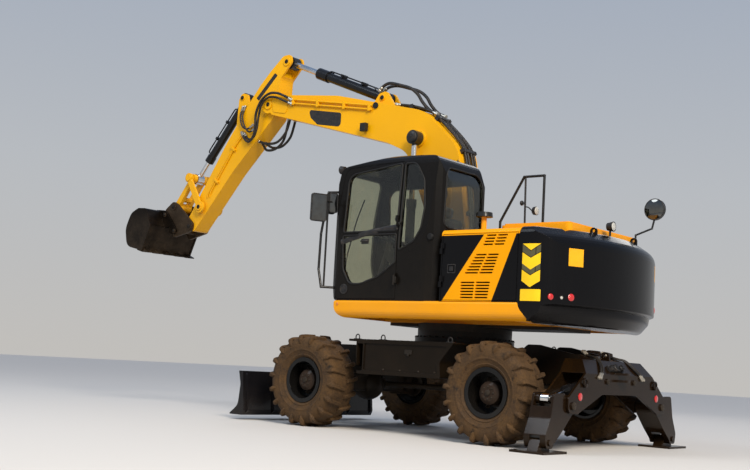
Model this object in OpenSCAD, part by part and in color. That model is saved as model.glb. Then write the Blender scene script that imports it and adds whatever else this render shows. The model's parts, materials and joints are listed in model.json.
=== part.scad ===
/* [Wheels] */
// Distance from the slew centre back to the rear axle
rear_axle_x = 1150; // [1100:10:1180]
// Distance from the slew centre forward to the steered axle
front_axle_x = 1450; // [1430:10:1500]
// Distance between the left and right wheel centres
track = 2084; // [2060:2:2120]
// Outside diameter of a tyre over its lugs
tyre_d = 1082; // [1060:2:1090]
// Width of a tyre
tyre_w = 456; // [430:2:470]
// Height of the tread lugs above the casing
lug_h = 26; // [16:1:30]
// Diameter of the rim where the tyre sits
rim_d = 496; // [480:2:510]
// Width of the rim between its flanges
rim_w = 356; // [330:2:370]
// Diameter of the hub that the wheel disc is bolted to
hub_d = 280; // [260:2:300]

/* [Chassis] */
// Width of the main beam
beam_w = 700; // [660:10:740]
// Height of the main beam's underside
beam_low = 664; // [662:1:680]
// Height of the main beam's top
beam_top = 1000; // [980:5:1020]
// Distance from the slew centre forward to the end of the main beam
beam_front = 1900; // [1880:5:1920]
// Diameter of the slew ring
ring_d = 1120; // [1080:10:1160]
// Height of the slew ring
ring_h = 80; // [70:1:90]
// Height of the round pedestal under the slew ring
pedestal_h = 120; // [110:1:130]
// Distance from the centre line to a locker's outer face
locker_y = 1150; // [1100:10:1180]
// Height of a locker's top
locker_top = 1050; // [1030:5:1060]
// Height of a locker's underside
locker_low = 655; // [640:5:680]

/* [Stabilisers and blade] */
// Distance from the slew centre back to the rear face of the stabiliser frame
stab_rear = 2060; // [2050:1:2070]
// Length of the stabiliser frame between its outer faces
stab_len = 310; // [304:1:312]
// Thickness of a stabiliser frame plate
stab_plate = 25; // [20:1:28]
// Distance from the centre line to a leg's pivot
leg_y = 1000; // [990:1:1010]
// Height of a leg's pivot
leg_z = 465; // [455:1:475]
// Distance from the centre line to a foot's pivot
foot_y = 1375; // [1365:1:1385]
// Width of a foot across the machine
foot_w = 440; // [400:5:450]
// Width of the blade
blade_w = 2500; // [2400:10:2540]
// Height of the blade
blade_h = 540; // [500:5:560]
// Ground clearance of the blade where it stands
blade_gap = 60; // [50:1:80]

/* [House] */
// Radius that the counterweight's tail sweeps
tail_r = 2180; // [2160:5:2220]
// Overall width of the house
house_w = 2480; // [2460:4:2500]
// Height of the deck's underside
deck_z = 1290; // [1285:1:1300]
// Height of the deck skirt
deck_h = 200; // [190:1:210]
// Distance from the slew centre forward to the deck's front edge
deck_front = 1015; // [1000:1:1025]
// Distance from the slew centre back to the counterweight's front face
weight_x = 1500; // [1490:1:1510]
// Height of the cowl's top
cowl_top = 2265; // [2250:1:2280]
// Height of the raised engine hood
hood_top = 2380; // [2360:1:2400]
// Thickness of a cowl panel
panel_t = 35; // [30:1:40]
// Gap between a door or lid and its frame
door_gap = 6; // [5:0.5:8]

/* [Cab] */
// Distance from the slew centre back to the cab's rear face
cab_rear = 450; // [440:1:460]
// Distance from the slew centre forward to the cab's front at its widest bulge
cab_front = 1165; // [1150:1:1180]
// Distance from the centre line to the cab's inner side
cab_in = 345; // [340:1:350]
// Distance that the cab's outer side lies inside the side of the house
cab_inset = 4; // [0:1:10]
// Height of the cab roof
cab_top = 3175; // [3160:1:3190]
// Thickness of the cab's walls
cab_wall = 45; // [40:1:50]
// Distance from the slew centre forward to the rear edge of the door
door_x = 120; // [110:1:130]
// Thickness of the window glass
glass_t = 6; // [5:0.5:8]

/* [Arm] */
// Width of the boom
boom_w = 380; // [376:2:384]
// Width of the dipper
dipper_w = 258; // [250:2:258]
// Width of the bucket
bucket_w = 950; // [900:10:1000]
// Thickness of the bucket's shell
bucket_t = 22; // [18:1:26]
// Diameter of the large pins of the arm
pin_d = 80; // [70:1:84]
// Bore of a pin joint beyond its pin
pin_play = 0.6; // [0.4:0.1:1]

/* [Hydraulics] */
// Outside diameter of a boom cylinder's barrel
boom_barrel_d = 112; // [106:1:114]
// Outside diameter of the dipper cylinder's barrel
dipper_barrel_d = 130; // [120:1:134]
// Outside diameter of the bucket cylinder's barrel
bucket_barrel_d = 116; // [110:1:120]
// Outside diameter of a stabiliser cylinder's barrel
stab_barrel_d = 110; // [100:1:116]
// Outside diameter of a blade cylinder's barrel
blade_barrel_d = 96; // [90:1:100]

/* [Hidden] */
$fn = 48;

// Running gap between faces that slide past each other
run = 0.3;
// Extra reach of a cutting tool past the face it cuts
cut = 2;
// Pin and boss sizes shared by the joints
pin_r = pin_d / 2;
bore_r = (pin_d + pin_play) / 2;
half_house = house_w / 2;
cab_out = half_house - cab_inset;
deck_top = deck_z + deck_h;
ring_base = beam_top + pedestal_h;
ring_top = ring_base + ring_h;
axle_z = tyre_d / 2;
wheel_y = track / 2;
half_beam = beam_w / 2;

// Pivots of the arm in the X-Z plane at rest, from the slew centre at ground level
foot_pin = [0, 1800];
boom_base = [700, 1540];
boom_eye = [700, 3580];
dipper_pin = [3400, 4300];
dipper_base = [1400, 4200];
dipper_eye = [3150, 4900];
bucket_base = [4035, 4485];
bucket_pin = [4920, 2635];
rocker_pin = [4700, 2910];
rocker_eye = [4980, 3360];
link_pin = [5300, 2940];
hook_near = [5210, 2570];
hook_far = [5450, 2820];

// Pivots of the left stabiliser in the Y-Z plane at rest
stab_base = [300, 725];
leg_lug = [leg_y + 255, leg_z + 65];
foot_z = 105;

// Pivots of the blade's parallelogram in the X-Z plane at rest
arm_root = [1800, 500];
arm_tip = [2330, 290];
link_rise = 200;
blade_base = [1830, 840];
blade_eye = [2250, 330];

// Half widths of the layers across the bucket linkage, from the middle outwards
eye_half = 60;
ear_in = 62;
rod_eye_w = 118;
link_in = 66;
link_out = 125;
hitch_in = 130.3;
hitch_out = 164.7;
rocker_in = 165;
rocker_out = 196;

// Box of the whole machine along X, whose middle is the part's origin
reach_front = 5990;
origin_x = (reach_front - tail_r) / 2;

function unit(v) = v / norm(v);
function along(a, b, s) = a + unit(b - a) * s;
function turned(v, a) = [v.x * cos(a) - v.y * sin(a), v.x * sin(a) + v.y * cos(a)];

// One corner of an outline, row b = [x, y, radius], rounded between its neighbours a and c
function corner(a, b, c, n) =
    let (p = [b.x, b.y], r = len(b) < 3 ? 0 : b[2])
    r == 0 ? [p] :
    let (u = unit([a.x, a.y] - p), v = unit([c.x, c.y] - p),
        half = acos(u * v) / 2,
        centre = p + unit(u + v) * r / sin(half),
        start = p + u * r / tan(half) - centre,
        finish = p + v * r / tan(half) - centre,
        way = start.x * finish.y - start.y * finish.x > 0 ? 1 : -1)
    [for (i = [0:n]) centre + turned(start, way * (180 - 2 * half) * i / n)];

// All points of an outline whose rows are [x, y, radius]
function outline(rows, n = 5) =
    let (m = len(rows))
    [for (i = [0:m - 1]) each corner(rows[(i + m - 1) % m], rows[i], rows[(i + 1) % m], n)];

// The same rows moved inwards by d, for rows that run anticlockwise
function inset(rows, d) =
    let (m = len(rows))
    [for (i = [0:m - 1])
        let (a = rows[(i + m - 1) % m], b = rows[i], c = rows[(i + 1) % m],
            u = unit([b.x - a.x, b.y - a.y]), v = unit([c.x - b.x, c.y - b.y]),
            side = [-u.y - v.y, u.x + v.x] * d / (1 + u * v),
            r = len(b) < 3 ? 0 : b[2])
        [b.x + side.x, b.y + side.y, r == 0 ? 0 : max(4, u.x * v.y - u.y * v.x > 0 ? r - d : r + d)]];

// Plate with its outline in the X-Z plane
module side_plate(rows, y0, y1, n = 5)
    translate([0, y1, 0]) rotate([90, 0, 0]) linear_extrude(y1 - y0) polygon(outline(rows, n));

// Plate with its outline in the Y-Z plane
module cross_plate(rows, x0, x1, n = 5)
    translate([x0, 0, 0]) rotate([90, 0, 90]) linear_extrude(x1 - x0) polygon(outline(rows, n));

// Plate with its outline in the X-Y plane
module floor_plate(rows, z0, z1, n = 5)
    translate([0, 0, z0]) linear_extrude(z1 - z0) polygon(outline(rows, n));

module block(low, high) translate(low) cube(high - low);

// Round bar along Y through the point [x, z]
module bar_y(p, r, y0, y1)
    translate([p.x, y1, p.y]) rotate([90, 0, 0]) cylinder(h = y1 - y0, r = r);

// Round bar along X through the point [y, z]
module bar_x(p, r, x0, x1)
    translate([x0, p.x, p.y]) rotate([0, 90, 0]) cylinder(h = x1 - x0, r = r);

// Round bar between two points in space
module bar(a, b, r) {
    d = b - a;
    translate(a) rotate([0, acos(d.z / norm(d)), atan2(d.y, d.x)]) cylinder(h = norm(d), r = r);
}

// Bar bent through a list of points, with a ball at each bend
module bent_bar(points, r) {
    for (i = [0:len(points) - 2]) bar(points[i], points[i + 1], r);
    for (i = [1:len(points) - 2]) translate(points[i]) sphere(r = r + 1.5, $fn = 24);
}

module both_sides() {
    children();
    mirror([0, 1, 0]) children();
}

module mirrored(on) mirror([0, on ? 1 : 0, 0]) children();

// Moves the machine so that the middle of its box is at the origin
module placed() translate([-origin_x, 0, 0]) children();

// Frame of a cylinder in the X-Z plane: its own X axis runs from one pivot to the other
module aimed(from, to)
    translate([from.x, 0, from.y]) rotate([0, -atan2(to.y - from.y, to.x - from.x), 0]) children();

// Barrel along X from its base eye at the origin, bored for its rod
module barrel(length, d, eye_r, eye_w, rod_d, pin, gland = 100, swell = 9) {
    difference() {
        union() {
            bar_y([0, 0], eye_r, -eye_w / 2, eye_w / 2);
            bar_x([0, 0], min(eye_w, d) / 2 - 4, eye_r * 0.6, eye_r * 1.4);
            bar_x([0, 0], d / 2, eye_r * 1.35, length - 40);
            bar_x([0, 0], d / 2 + swell, length - gland, length);
        }
        bar_y([0, 0], pin + pin_play / 2, -eye_w, eye_w);
        bar_x([0, 0], (rod_d + pin_play) / 2, eye_r * 1.6, length + cut);
    }
}

// Rod along X that ends in an eye at the distance reach, with its own length of pin
module rod(start, reach, d, eye_r, eye_w, pin_w) {
    bar_x([0, 0], d / 2, start, reach - eye_r * 0.6);
    bar_y([reach, 0], eye_r, -eye_w / 2, eye_w / 2);
    bar_y([reach, 0], eye_r * 0.55, -pin_w / 2, pin_w / 2);
}

// Layers of the blade's links and cylinders across the machine
link_layer = 232;
blade_slot = [50, 160];
link_root = arm_root + [0, link_rise];
link_tip = arm_tip + [0, link_rise];

// Chassis
chassis_rows = [[-stab_rear + stab_len, beam_low + 60, 0], [-1350, beam_low, 80],
    [beam_front - 200, beam_low, 80], [beam_front, beam_low - 240, 40], [beam_front, beam_top - 90, 60],
    [beam_front - 260, beam_top, 100], [-stab_rear + stab_len, beam_top, 0]];
// Raised web above each side of the main beam, behind the pedestal
web_rows = [[-stab_rear + stab_len, beam_top - 60, 0], [-900, beam_top - 60, 0], [-1000, beam_top, 60],
    [-1100, beam_top + 85, 60], [-1250, beam_top + 85, 60], [-stab_rear + stab_len, beam_top - 15, 0]];
module chassis_form() {
    difference() {
        union() {
            side_plate(chassis_rows, -half_beam, half_beam);
            both_sides() side_plate(web_rows, half_beam - 30, half_beam);
            translate([0, 0, beam_top - cut]) cylinder(h = pedestal_h + cut, d = ring_d + 60, $fn = 96);
            for (x = [-520, 520])
                block([x - 60, -600, beam_low + 100], [x + 60, 600, beam_top]);
            both_sides() for (p = [arm_root, link_root]) {
                bar_y(p, pin_r, 200, link_layer + 60);
                bar_y(p, pin_r + 14, link_layer + 54, link_layer + 66);
            }
        }
        translate([0, 0, beam_low - cut]) cylinder(h = ring_base, d = 400);
        both_sides() difference() {
            block([arm_root.x - 130, link_layer, beam_low - 300], [beam_front + 50, half_beam + cut,
                beam_top - 60]);
            for (p = [arm_root, link_root]) {
                bar_y(p, pin_r, 200, link_layer + 60);
                bar_y(p, pin_r + 14, link_layer + 54, link_layer + 66);
            }
        }
        both_sides() block([blade_base.x - 90, blade_slot.x, beam_low - 300],
            [beam_front + 50, blade_slot.y, blade_base.y + 90]);
    }
    both_sides() bar_y(blade_base, 26, blade_slot.x - 1, blade_slot.y + 1);
}
module chassis() color("#2b2622") placed() chassis_form();

// Lockers and steps at both sides
locker_rows = [[-510, locker_low, 20], [680, locker_low, 20], [705, locker_low + 215, 20],
    [705, locker_top - 25, 0], [820, locker_top - 25, 0], [820, locker_top, 10], [-680, locker_top, 15],
    [-660, locker_top - 20, 0], [-490, locker_top - 220, 60]];
locker_panel = [[-465, locker_low + 45, 15], [585, locker_low + 45, 15], [585, locker_top - 45, 15],
    [-590, locker_top - 45, 15], [-445, locker_top - 235, 60]];
module lockers() color("#312b26") placed() both_sides() difference() {
    side_plate(locker_rows, 600, locker_y);
    side_plate(locker_panel, locker_y - 14, locker_y + cut);
    block([605, locker_y - 160, locker_low + 35], [690, locker_y + cut, locker_top - 50]);
}

module slew_ring() color("#6b5a44") placed() difference() {
    translate([0, 0, ring_base]) cylinder(h = ring_h, d = ring_d, $fn = 96);
    translate([0, 0, ring_base - cut]) cylinder(h = ring_h + 2 * cut, d = ring_d - 280, $fn = 96);
}

// Travel gearbox and the propeller shafts to both axles
shaft_z = axle_z - 5;
module driveline() color("#38322c") placed() {
    block([-420, -200, 430], [-60, 200, beam_low]);
    bar_x([0, shaft_z], 120, -500, -420);
    bar_x([0, shaft_z], 34, -rear_axle_x + 300, -500);
    bar_x([0, shaft_z], 34, -60, front_axle_x - 300);
    for (x = [-rear_axle_x + 260, front_axle_x - 300]) bar_x([0, shaft_z], 62, x, x + 40);
    bar_x([0, shaft_z], 62, -60, -20);
}

// Axles
beam_r = 105;
hub_in = wheel_y - 60;
module axle_case(x, reach) {
    translate([x, 0, 0]) {
        side_plate([[-beam_r, axle_z - beam_r, 30], [beam_r, axle_z - beam_r, 30],
            [beam_r, beam_low, 30], [-beam_r, beam_low, 30]], -reach, reach);
        difference() {
            translate([0, 0, axle_z - 20]) sphere(r = 200);
            block([-250, -250, beam_low], [250, 250, beam_low + 200]);
        }
    }
}
module hub(y0) {
    bar_y([0, axle_z], 165, y0, hub_in - 24);
    bar_y([0, axle_z], hub_d / 2 - 10, y0, hub_in - run);
}
module rear_axle() color("#3a332c") placed() {
    axle_case(-rear_axle_x, 760);
    both_sides() translate([-rear_axle_x, 0, 0]) hub(740);
}

king_y = 800;
king_half = 95;
arm_ahead = 165;
tie_y = 700;
neck_end = 912;
tie_z = axle_z - 25;
module front_axle() color("#3a332c") placed() {
    difference() {
        union() {
            axle_case(front_axle_x, 590);
            both_sides() for (z = [axle_z + king_half, axle_z - king_half - 40])
                block([front_axle_x - 80, 550, z], [front_axle_x + 80, king_y + 70, z + 40]);
            bar_y([front_axle_x + arm_ahead, tie_z], 45, -360, 360);
            for (y = [-330, 290]) block([front_axle_x + beam_r - 10, y, tie_z - 30],
                [front_axle_x + arm_ahead, y + 40, tie_z + 30]);
        }
        bar_y([front_axle_x + arm_ahead, tie_z], 20 + run, -400, 400);
        both_sides() translate([front_axle_x, king_y, 0]) cylinder(h = tyre_d, r = 30 + run);
        both_sides() translate([front_axle_x, king_y, axle_z - king_half]) cylinder(h = 2 * king_half,
            r = 125);
    }
}

module steer_rod() color("#c9c9c6") placed() {
    bar_y([front_axle_x + arm_ahead, tie_z], 20, -tie_y, tie_y);
    both_sides() translate([front_axle_x + arm_ahead, tie_y, tie_z - 22]) cylinder(h = 44, r = 34);
}

module knuckle() translate([front_axle_x, 0, 0]) {
    translate([0, king_y, axle_z - king_half + run]) cylinder(h = 2 * (king_half - run), r = 90);
    translate([0, king_y, axle_z - king_half - 45]) cylinder(h = 2 * king_half + 90, r = 30);
    bar_y([0, axle_z], 86, king_y, neck_end);
    hub(neck_end);
    floor_plate([[-30, king_y - 40, 0], [arm_ahead - 20, tie_y - 36, 30], [arm_ahead + 36, tie_y - 20, 30],
        [arm_ahead + 30, tie_y + 36, 30], [-30, king_y + 60, 0]], tie_z + 22 + run, tie_z + 50);
}
module knuckle_l() color("#3a332c") placed() knuckle();
module knuckle_r() color("#3a332c") placed() mirror([0, 1, 0]) knuckle();

// Wheels, drawn about their own axle at the origin with the outside towards +Y
disc_y = -60;
disc_t = 18;
lip = 18;
rim_rows = [[rim_d / 2 - 30, rim_w / 2], [rim_d / 2 + lip, rim_w / 2], [rim_d / 2 + lip, rim_w / 2 - 12],
    [rim_d / 2, rim_w / 2 - 22], [rim_d / 2 - 12, 60], [rim_d / 2 - 12, -60],
    [rim_d / 2, -rim_w / 2 + 22], [rim_d / 2 + lip, -rim_w / 2 + 12], [rim_d / 2 + lip, -rim_w / 2],
    [rim_d / 2 - 12, -rim_w / 2], [rim_d / 2 - 26, -rim_w / 2 + 30], [rim_d / 2 - 26, disc_y],
    [0, disc_y], [0, disc_y + 190], [hub_d / 2 - 55, disc_y + 190], [hub_d / 2 - 18, disc_y + 165],
        [hub_d / 2 - 12, disc_y + 40],
    [hub_d / 2, disc_y + 40],
    [hub_d / 2, disc_y + disc_t], [rim_d / 2 - 30, disc_y + disc_t]];
module rim() rotate([-90, 0, 0]) rotate_extrude($fn = 72) polygon(rim_rows);

// Tyre: a casing revolved about the axle and a row of lugs on each shoulder
bead = rim_d / 2 + run;
casing_r = tyre_d / 2 - lug_h;
half_tyre = tyre_w / 2;
bead_y = rim_w / 2 - 24;
// Right half of the casing: [radius, distance from its middle]
casing_rows = [[bead, bead_y], [bead + lip + 4, bead_y + 10], [bead + lip + 30, half_tyre - 44],
    [casing_r - 110, half_tyre - 8], [casing_r, half_tyre - 80]];
// Plan of one lug: [distance round the tyre, distance from its middle]
lug_rows = [[-16, 12], [36, 12], [92, half_tyre], [18, half_tyre]];
lug_count = 18;
lug_low = casing_r - 112;
module lugs() for (i = [1:lug_count]) rotate([0, 360 * i / lug_count, 0])
    translate([0, 0, lug_low]) linear_extrude(tyre_d / 2 - lug_low + cut) polygon(lug_rows);
module tyre() {
    rotate([-90, 0, 0]) rotate_extrude($fn = 20) polygon(concat(
        [for (p = casing_rows) p], [for (i = [len(casing_rows) - 1:-1:0]) [casing_rows[i].x,
            -casing_rows[i].y]]));
    intersection() {
        union() {
            lugs();
            rotate([0, 180 / lug_count, 0]) mirror([0, 1, 0]) lugs();
        }
        rotate([90, 0, 0]) cylinder(h = tyre_w, d = tyre_d, center = true, $fn = 20);
    }
}
module at_wheel(x, right) placed() mirrored(right) translate([x, wheel_y, axle_z]) children();
module rim_fl() color("#15130f") at_wheel(front_axle_x, false) rim();
module rim_fr() color("#15130f") at_wheel(front_axle_x, true) rim();
module rim_rl() color("#15130f") at_wheel(-rear_axle_x, false) rim();
module rim_rr() color("#15130f") at_wheel(-rear_axle_x, true) rim();
module tyre_fl() color("#4a3d30") at_wheel(front_axle_x, false) tyre();
module tyre_fr() color("#4a3d30") at_wheel(front_axle_x, true) tyre();
module tyre_rl() color("#4a3d30") at_wheel(-rear_axle_x, false) tyre();
module tyre_rr() color("#4a3d30") at_wheel(-rear_axle_x, true) tyre();

// Stabiliser frame, a hollow arch that is open below and at both ends
stab_front = stab_rear - stab_len;
shoulder = [755, 800];
stab_top = [655, 945];
slope_back = 105;
arch_rows = [[-leg_y - 85, leg_z - 70, 60], [100 - leg_y, leg_z - 80, 30], [-395, 588, 30], [395, 588, 30],
    [leg_y - 100, leg_z - 80, 30], [leg_y + 85, leg_z - 70, 60], [leg_y + 92, leg_z + 80, 40], shoulder,
        stab_top,
    [-stab_top.x, stab_top.y], [-shoulder.x, shoulder.y], [-leg_y - 92, leg_z + 80, 40]];
stab_side = [[-stab_rear, 200], [-stab_front, 200], [-stab_front, stab_top.y],
    [-stab_rear + slope_back, stab_top.y], [-stab_rear, shoulder.y]];
stab_half = [[1300, 100], [1300, shoulder.y], [shoulder.x - 30, shoulder.y], [stab_top.x - 30,
    stab_top.y + cut]];
stab_hollow = concat(stab_half, [for (i = [3:-1:0]) [-stab_half[i].x, stab_half[i].y]]);
tow_z = [725, 800];
tow_t = 25;
tow_x = -stab_rear - 45;
tow_r = 21;
eye_x = -stab_rear + 160;
module stab_frame() color("#211d1a") placed() {
    difference() {
        intersection() {
            side_plate(stab_side, -1200, 1200);
            cross_plate(arch_rows, -stab_rear, -stab_front);
        }
        intersection() {
            side_plate(inset(stab_side, stab_plate), -1300, 1300);
            cross_plate(stab_hollow, -stab_rear, -stab_front);
        }
    }
    side_plate([[-stab_rear + slope_back, stab_top.y - 5, 0], [-stab_front, stab_top.y - 5, 0],
        [-stab_front, beam_top - 4, 0]], -half_beam, half_beam);
    difference() {
        side_plate([[eye_x - 50, stab_top.y - 5, 0], [eye_x + 50, stab_top.y - 5, 0], [eye_x + 40,
            stab_top.y + 95, 36],
            [eye_x - 40, stab_top.y + 95, 36]], 38, 62);
        bar_y([eye_x, stab_top.y + 55], 19, 30, 70);
    }
    both_sides() {
        bar_x([leg_y, leg_z], pin_r, -stab_rear - 12, -stab_front);
        bar_x(stab_base, 30, -stab_rear - 12, -stab_front);
    }
    difference() {
        for (z = tow_z) floor_plate([[-stab_rear - 95, -60, 55], [-stab_rear + 30, -95, 0],
            [-stab_rear + 30, 95, 0],
            [-stab_rear - 95, 60, 55]], z, z + tow_t);
        translate([tow_x, 0, 0]) cylinder(h = 2000, r = tow_r);
    }
}
stab_mid = -(stab_rear + stab_front) / 2;
leg_half = stab_len / 2 - stab_plate - 6;
leg_plate = 24;
foot_boss = 52;
leg_rows = [[leg_y - 88, leg_z - 50, 60], [leg_y + 135, leg_z - 250, 80], [foot_y - 85, foot_z - 10, 40],
    [foot_y - 60, foot_z - 55, 40], [foot_y + 60, foot_z - 55, 40], [foot_y + 85, foot_z + 60, 60],
    [leg_lug.x + 110, leg_lug.y - 180, 150], [leg_lug.x + 58, leg_lug.y + 60, 40], [leg_lug.x - 90,
        leg_lug.y + 60, 60],
    [leg_y - 20, leg_z + 95, 60], [leg_y - 88, leg_z + 40, 60]];
// Room for the cylinder between the leg's two plates
leg_room = [[leg_y - 150, leg_z + 91], [leg_y - 40, leg_z + 91], [leg_y + 30, leg_z + 76], [leg_y + 95,
    leg_z + 40],
    [leg_y + 180, leg_z - 135], [leg_y + 340, leg_z - 135], [leg_y + 343, leg_z - 113], [leg_y + 330,
        leg_z - 10],
    [leg_y + 500, leg_z - 10], [leg_y + 500, leg_z + 175], [leg_y - 150, leg_z + 175]];
module stab_leg() difference() {
    union() {
        difference() {
            cross_plate(leg_rows, stab_mid - leg_half, stab_mid + leg_half);
            cross_plate(leg_room, stab_mid - leg_half + leg_plate, stab_mid + leg_half - leg_plate);
        }
        for (s = [-1, 1]) translate([stab_mid + s * (62 + leg_half) / 2, leg_lug.x, leg_lug.y]) rotate([0,
            90, 0])
            cylinder(h = leg_half - 62, r = foot_boss, center = true);
        bar_x([leg_y, leg_z], 78, stab_mid - stab_len / 2 + stab_plate + run,
            stab_mid + stab_len / 2 - stab_plate - run);
    }
    bar_x([leg_y, leg_z], bore_r, -stab_rear, -stab_front);
    cross_plate([[foot_y - 200, foot_z - 100, 0], [foot_y + 200, foot_z - 100, 0], [foot_y + 200,
        foot_z + 70, 0],
        [foot_y - 200, foot_z + 70, 0]], stab_mid - 60, stab_mid + 60);
    bar_x([foot_y, foot_z], 30 + run, -stab_rear, -stab_front);
}
module stab_leg_l() color("#1d1a18") placed() stab_leg();
module stab_leg_r() color("#1d1a18") placed() mirror([0, 1, 0]) stab_leg();
module stab_pad() {
    block([stab_mid - 195, foot_y - foot_w / 2, 0], [stab_mid + 195, foot_y + foot_w / 2, 24]);
    cross_plate([[foot_y - 120, 22, 0], [foot_y + 120, 22, 0], [foot_y + 55, foot_z + 40, 40],
        [foot_y - 55, foot_z + 40, 40]], stab_mid - 59.7, stab_mid + 59.7);
    bar_x([foot_y, foot_z], 30, stab_mid - leg_half - 14, stab_mid + leg_half + 14);
}
module stab_pad_l() color("#1d1a18") placed() stab_pad();
module stab_pad_r() color("#1d1a18") placed() mirror([0, 1, 0]) stab_pad();

// Frame of a stabiliser cylinder, whose own X axis runs from the frame's pin to the leg's lug
module stab_aimed() translate([stab_mid, 0, 0]) rotate([0, 0, 90])
    aimed(stab_base, leg_lug) children();
stab_reach = norm(leg_lug - stab_base);
stab_tube_len = 600;
module stab_tube() stab_aimed() barrel(stab_tube_len, stab_barrel_d, 52,
    stab_len - 2 * stab_plate - 2 * run, 56, 30);
module stab_rod() stab_aimed() rod(400, stab_reach, 56, 50, 90, 2 * 61.7);
module stab_tube_l() color("#26221f") placed() stab_tube();
module stab_tube_r() color("#26221f") placed() mirror([0, 1, 0]) stab_tube();
module stab_rod_l() color("#c9c9c6") placed() stab_rod();
module stab_rod_r() color("#c9c9c6") placed() mirror([0, 1, 0]) stab_rod();

// Blade and its parallelogram
blade_x = 2360;
blade_rows = [[blade_x + 60, blade_gap, 0], [blade_x + 270, blade_gap, 0], [blade_x + 270, blade_gap + 14, 0],
    [blade_x + 135, blade_gap + 120, 120], [blade_x + 110, blade_gap + 380, 160],
    [blade_x + 150, blade_gap + blade_h, 0], [blade_x + 80, blade_gap + blade_h, 0],
    [blade_x + 70, blade_gap + blade_h - 100, 0], [blade_x + 30, blade_gap + 60, 40]];
module lug(p, r, y0, y1, back) side_plate([[p.x, p.y - r, r * 0.5], [back, p.y - r - 30, 0],
    [back, p.y + r + 30, 0], [p.x, p.y + r, r * 0.5], [p.x - r, p.y, r * 0.8]], y0, y1);
module blade() color("#1b1917") placed() {
    side_plate(blade_rows, -blade_w / 2, blade_w / 2);
    both_sides() {
        for (y = [720, blade_w / 2 - 70]) side_plate([[blade_x, blade_gap + 60, 0], [blade_x + 60,
            blade_gap + 10, 0],
            [blade_x + 90, blade_gap + blade_h - 20, 0], [blade_x + 60, blade_gap + blade_h - 40, 0]], y,
                y + 20);
        for (p = [arm_tip, link_tip]) {
            lug(p, 60, link_layer - 40, link_layer - run, blade_x + 80);
            bar_y(p, pin_r, link_layer - 20, link_layer + 60);
            bar_y(p, pin_r + 14, link_layer + 54, link_layer + 66);
        }
        for (y = [blade_y - 55, blade_y + 35]) lug(blade_eye, 52, y, y + 20, blade_x + 80);
    }
}
module flat_bar(a, b, r, y0, y1) difference() {
    w = unit(b - a);
    n = [-w.y, w.x] * r * 0.75;
    union() {
        bar_y(a, r, y0, y1);
        bar_y(b, r, y0, y1);
        side_plate([a - n, b - n, b + n, a + n], y0, y1);
    }
    bar_y(a, pin_r + run, y0 - cut, y1 + cut);
    bar_y(b, pin_r + run, y0 - cut, y1 + cut);
}
module blade_arms() color("#1b1917") placed() {
    both_sides() flat_bar(arm_root, arm_tip, 62, link_layer + run, link_layer + 54 - run);
    bar_y((arm_root + arm_tip) / 2, 24, -link_layer - 20, link_layer + 20);
}
module blade_links() color("#1b1917") placed() both_sides()
    flat_bar(link_root, link_tip, 56, link_layer + run, link_layer + 54 - run);
blade_reach = norm(blade_eye - blade_base);
blade_y = (blade_slot.x + blade_slot.y) / 2;
blade_tube_len = 392;
module blade_tubes() color("#26221f") placed() both_sides() translate([0, blade_y, 0])
    aimed(blade_base, blade_eye) barrel(blade_tube_len, blade_barrel_d, 46,
        blade_slot.y - blade_slot.x - 2 * run, 50, 26);
module blade_rods() color("#c9c9c6") placed() both_sides() translate([0, blade_y, 0])
    aimed(blade_base, blade_eye) rod(292, blade_reach, 50, 44, 60, 2 * 35 - 2 * run);

// House deck with the skirts at both sides
deck_rows = [[-weight_x - 150, deck_z, 20], [deck_front, deck_z, 150], [deck_front, deck_top, 20],
    [-weight_x, deck_top, 0], [-weight_x - 20, deck_z + 130, 150]];
skirt_rows = [[-half_house, deck_z, 90], [half_house, deck_z, 90], [half_house, deck_top, 30],
    [-half_house, deck_top, 30]];
module deck() color("#f2a100") placed() difference() {
    union() {
        intersection() {
            side_plate(deck_rows, -half_house, half_house, 8);
            cross_plate(skirt_rows, -weight_x - 160, deck_front, 6);
        }
        translate([0, 0, ring_top + run]) cylinder(h = deck_z - ring_top, d = ring_d, $fn = 96);
        block([-weight_x + 20, -360, deck_z - 40], [deck_front - 160, 360, deck_z + 20]);
    }
    both_sides() block([-weight_x + 60, 420, deck_z - cut], [deck_front - 120, half_house - 70,
        deck_top - 60]);
    translate([0, 0, ring_top - cut]) cylinder(h = 90, d = ring_d - 280, $fn = 96);
    both_sides() bar_y(boom_base, 90, cyl_y - 42, cyl_y + 42);
}

// Tower plates that carry the boom's foot and the boom cylinders
half_boom = boom_w / 2;
tower_in = half_boom + 6;
tower_t = 34;
cyl_y = 270;
tower_rows = [[-420, deck_top, 0], [430, deck_top, 0], [160, foot_pin.y + 40, 120], [60, foot_pin.y + 150,
    120],
    [-110, foot_pin.y + 150, 120], [-190, foot_pin.y + 20, 100]];
ear_rows = [[boom_base.x - 150, deck_top, 0], [boom_base.x + 130, deck_top, 0],
    [boom_base.x + 75, boom_base.y + 75, 70], [boom_base.x - 85, boom_base.y + 75, 70]];
module boom_tower() color("#e69a00") placed() {
    both_sides() {
        side_plate(tower_rows, tower_in, tower_in + tower_t);
        side_plate(ear_rows, cyl_y - 65, cyl_y - 32);
        side_plate(ear_rows, cyl_y + 32, cyl_y + 65);
        bar_y(boom_base, pin_r, cyl_y - 70, cyl_y + 68);
        bar_y(foot_pin, pin_r + 30, tower_in + tower_t - 2, tower_in + tower_t + 16);
    }
    bar_y(foot_pin, pin_r, -tower_in - 2, tower_in + 2);
}

// Counterweight, revolved about the slew centre and trimmed to the house's width
weight_wall = 350;
weight_in = tail_r - weight_wall;
weight_side = half_house - 4;
weight_low = deck_z - 10;
weight_rows = [[0, weight_low, 0], [tail_r - 150, weight_low, 60], [tail_r - 60, weight_low + 110, 60],
    [tail_r - 50, weight_low + 180, 0], [tail_r, weight_low + 200, 12], [tail_r, cowl_top - 110, 150],
    [tail_r - 190, cowl_top + 18, 60], [0, cowl_top + 18, 0]];
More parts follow.
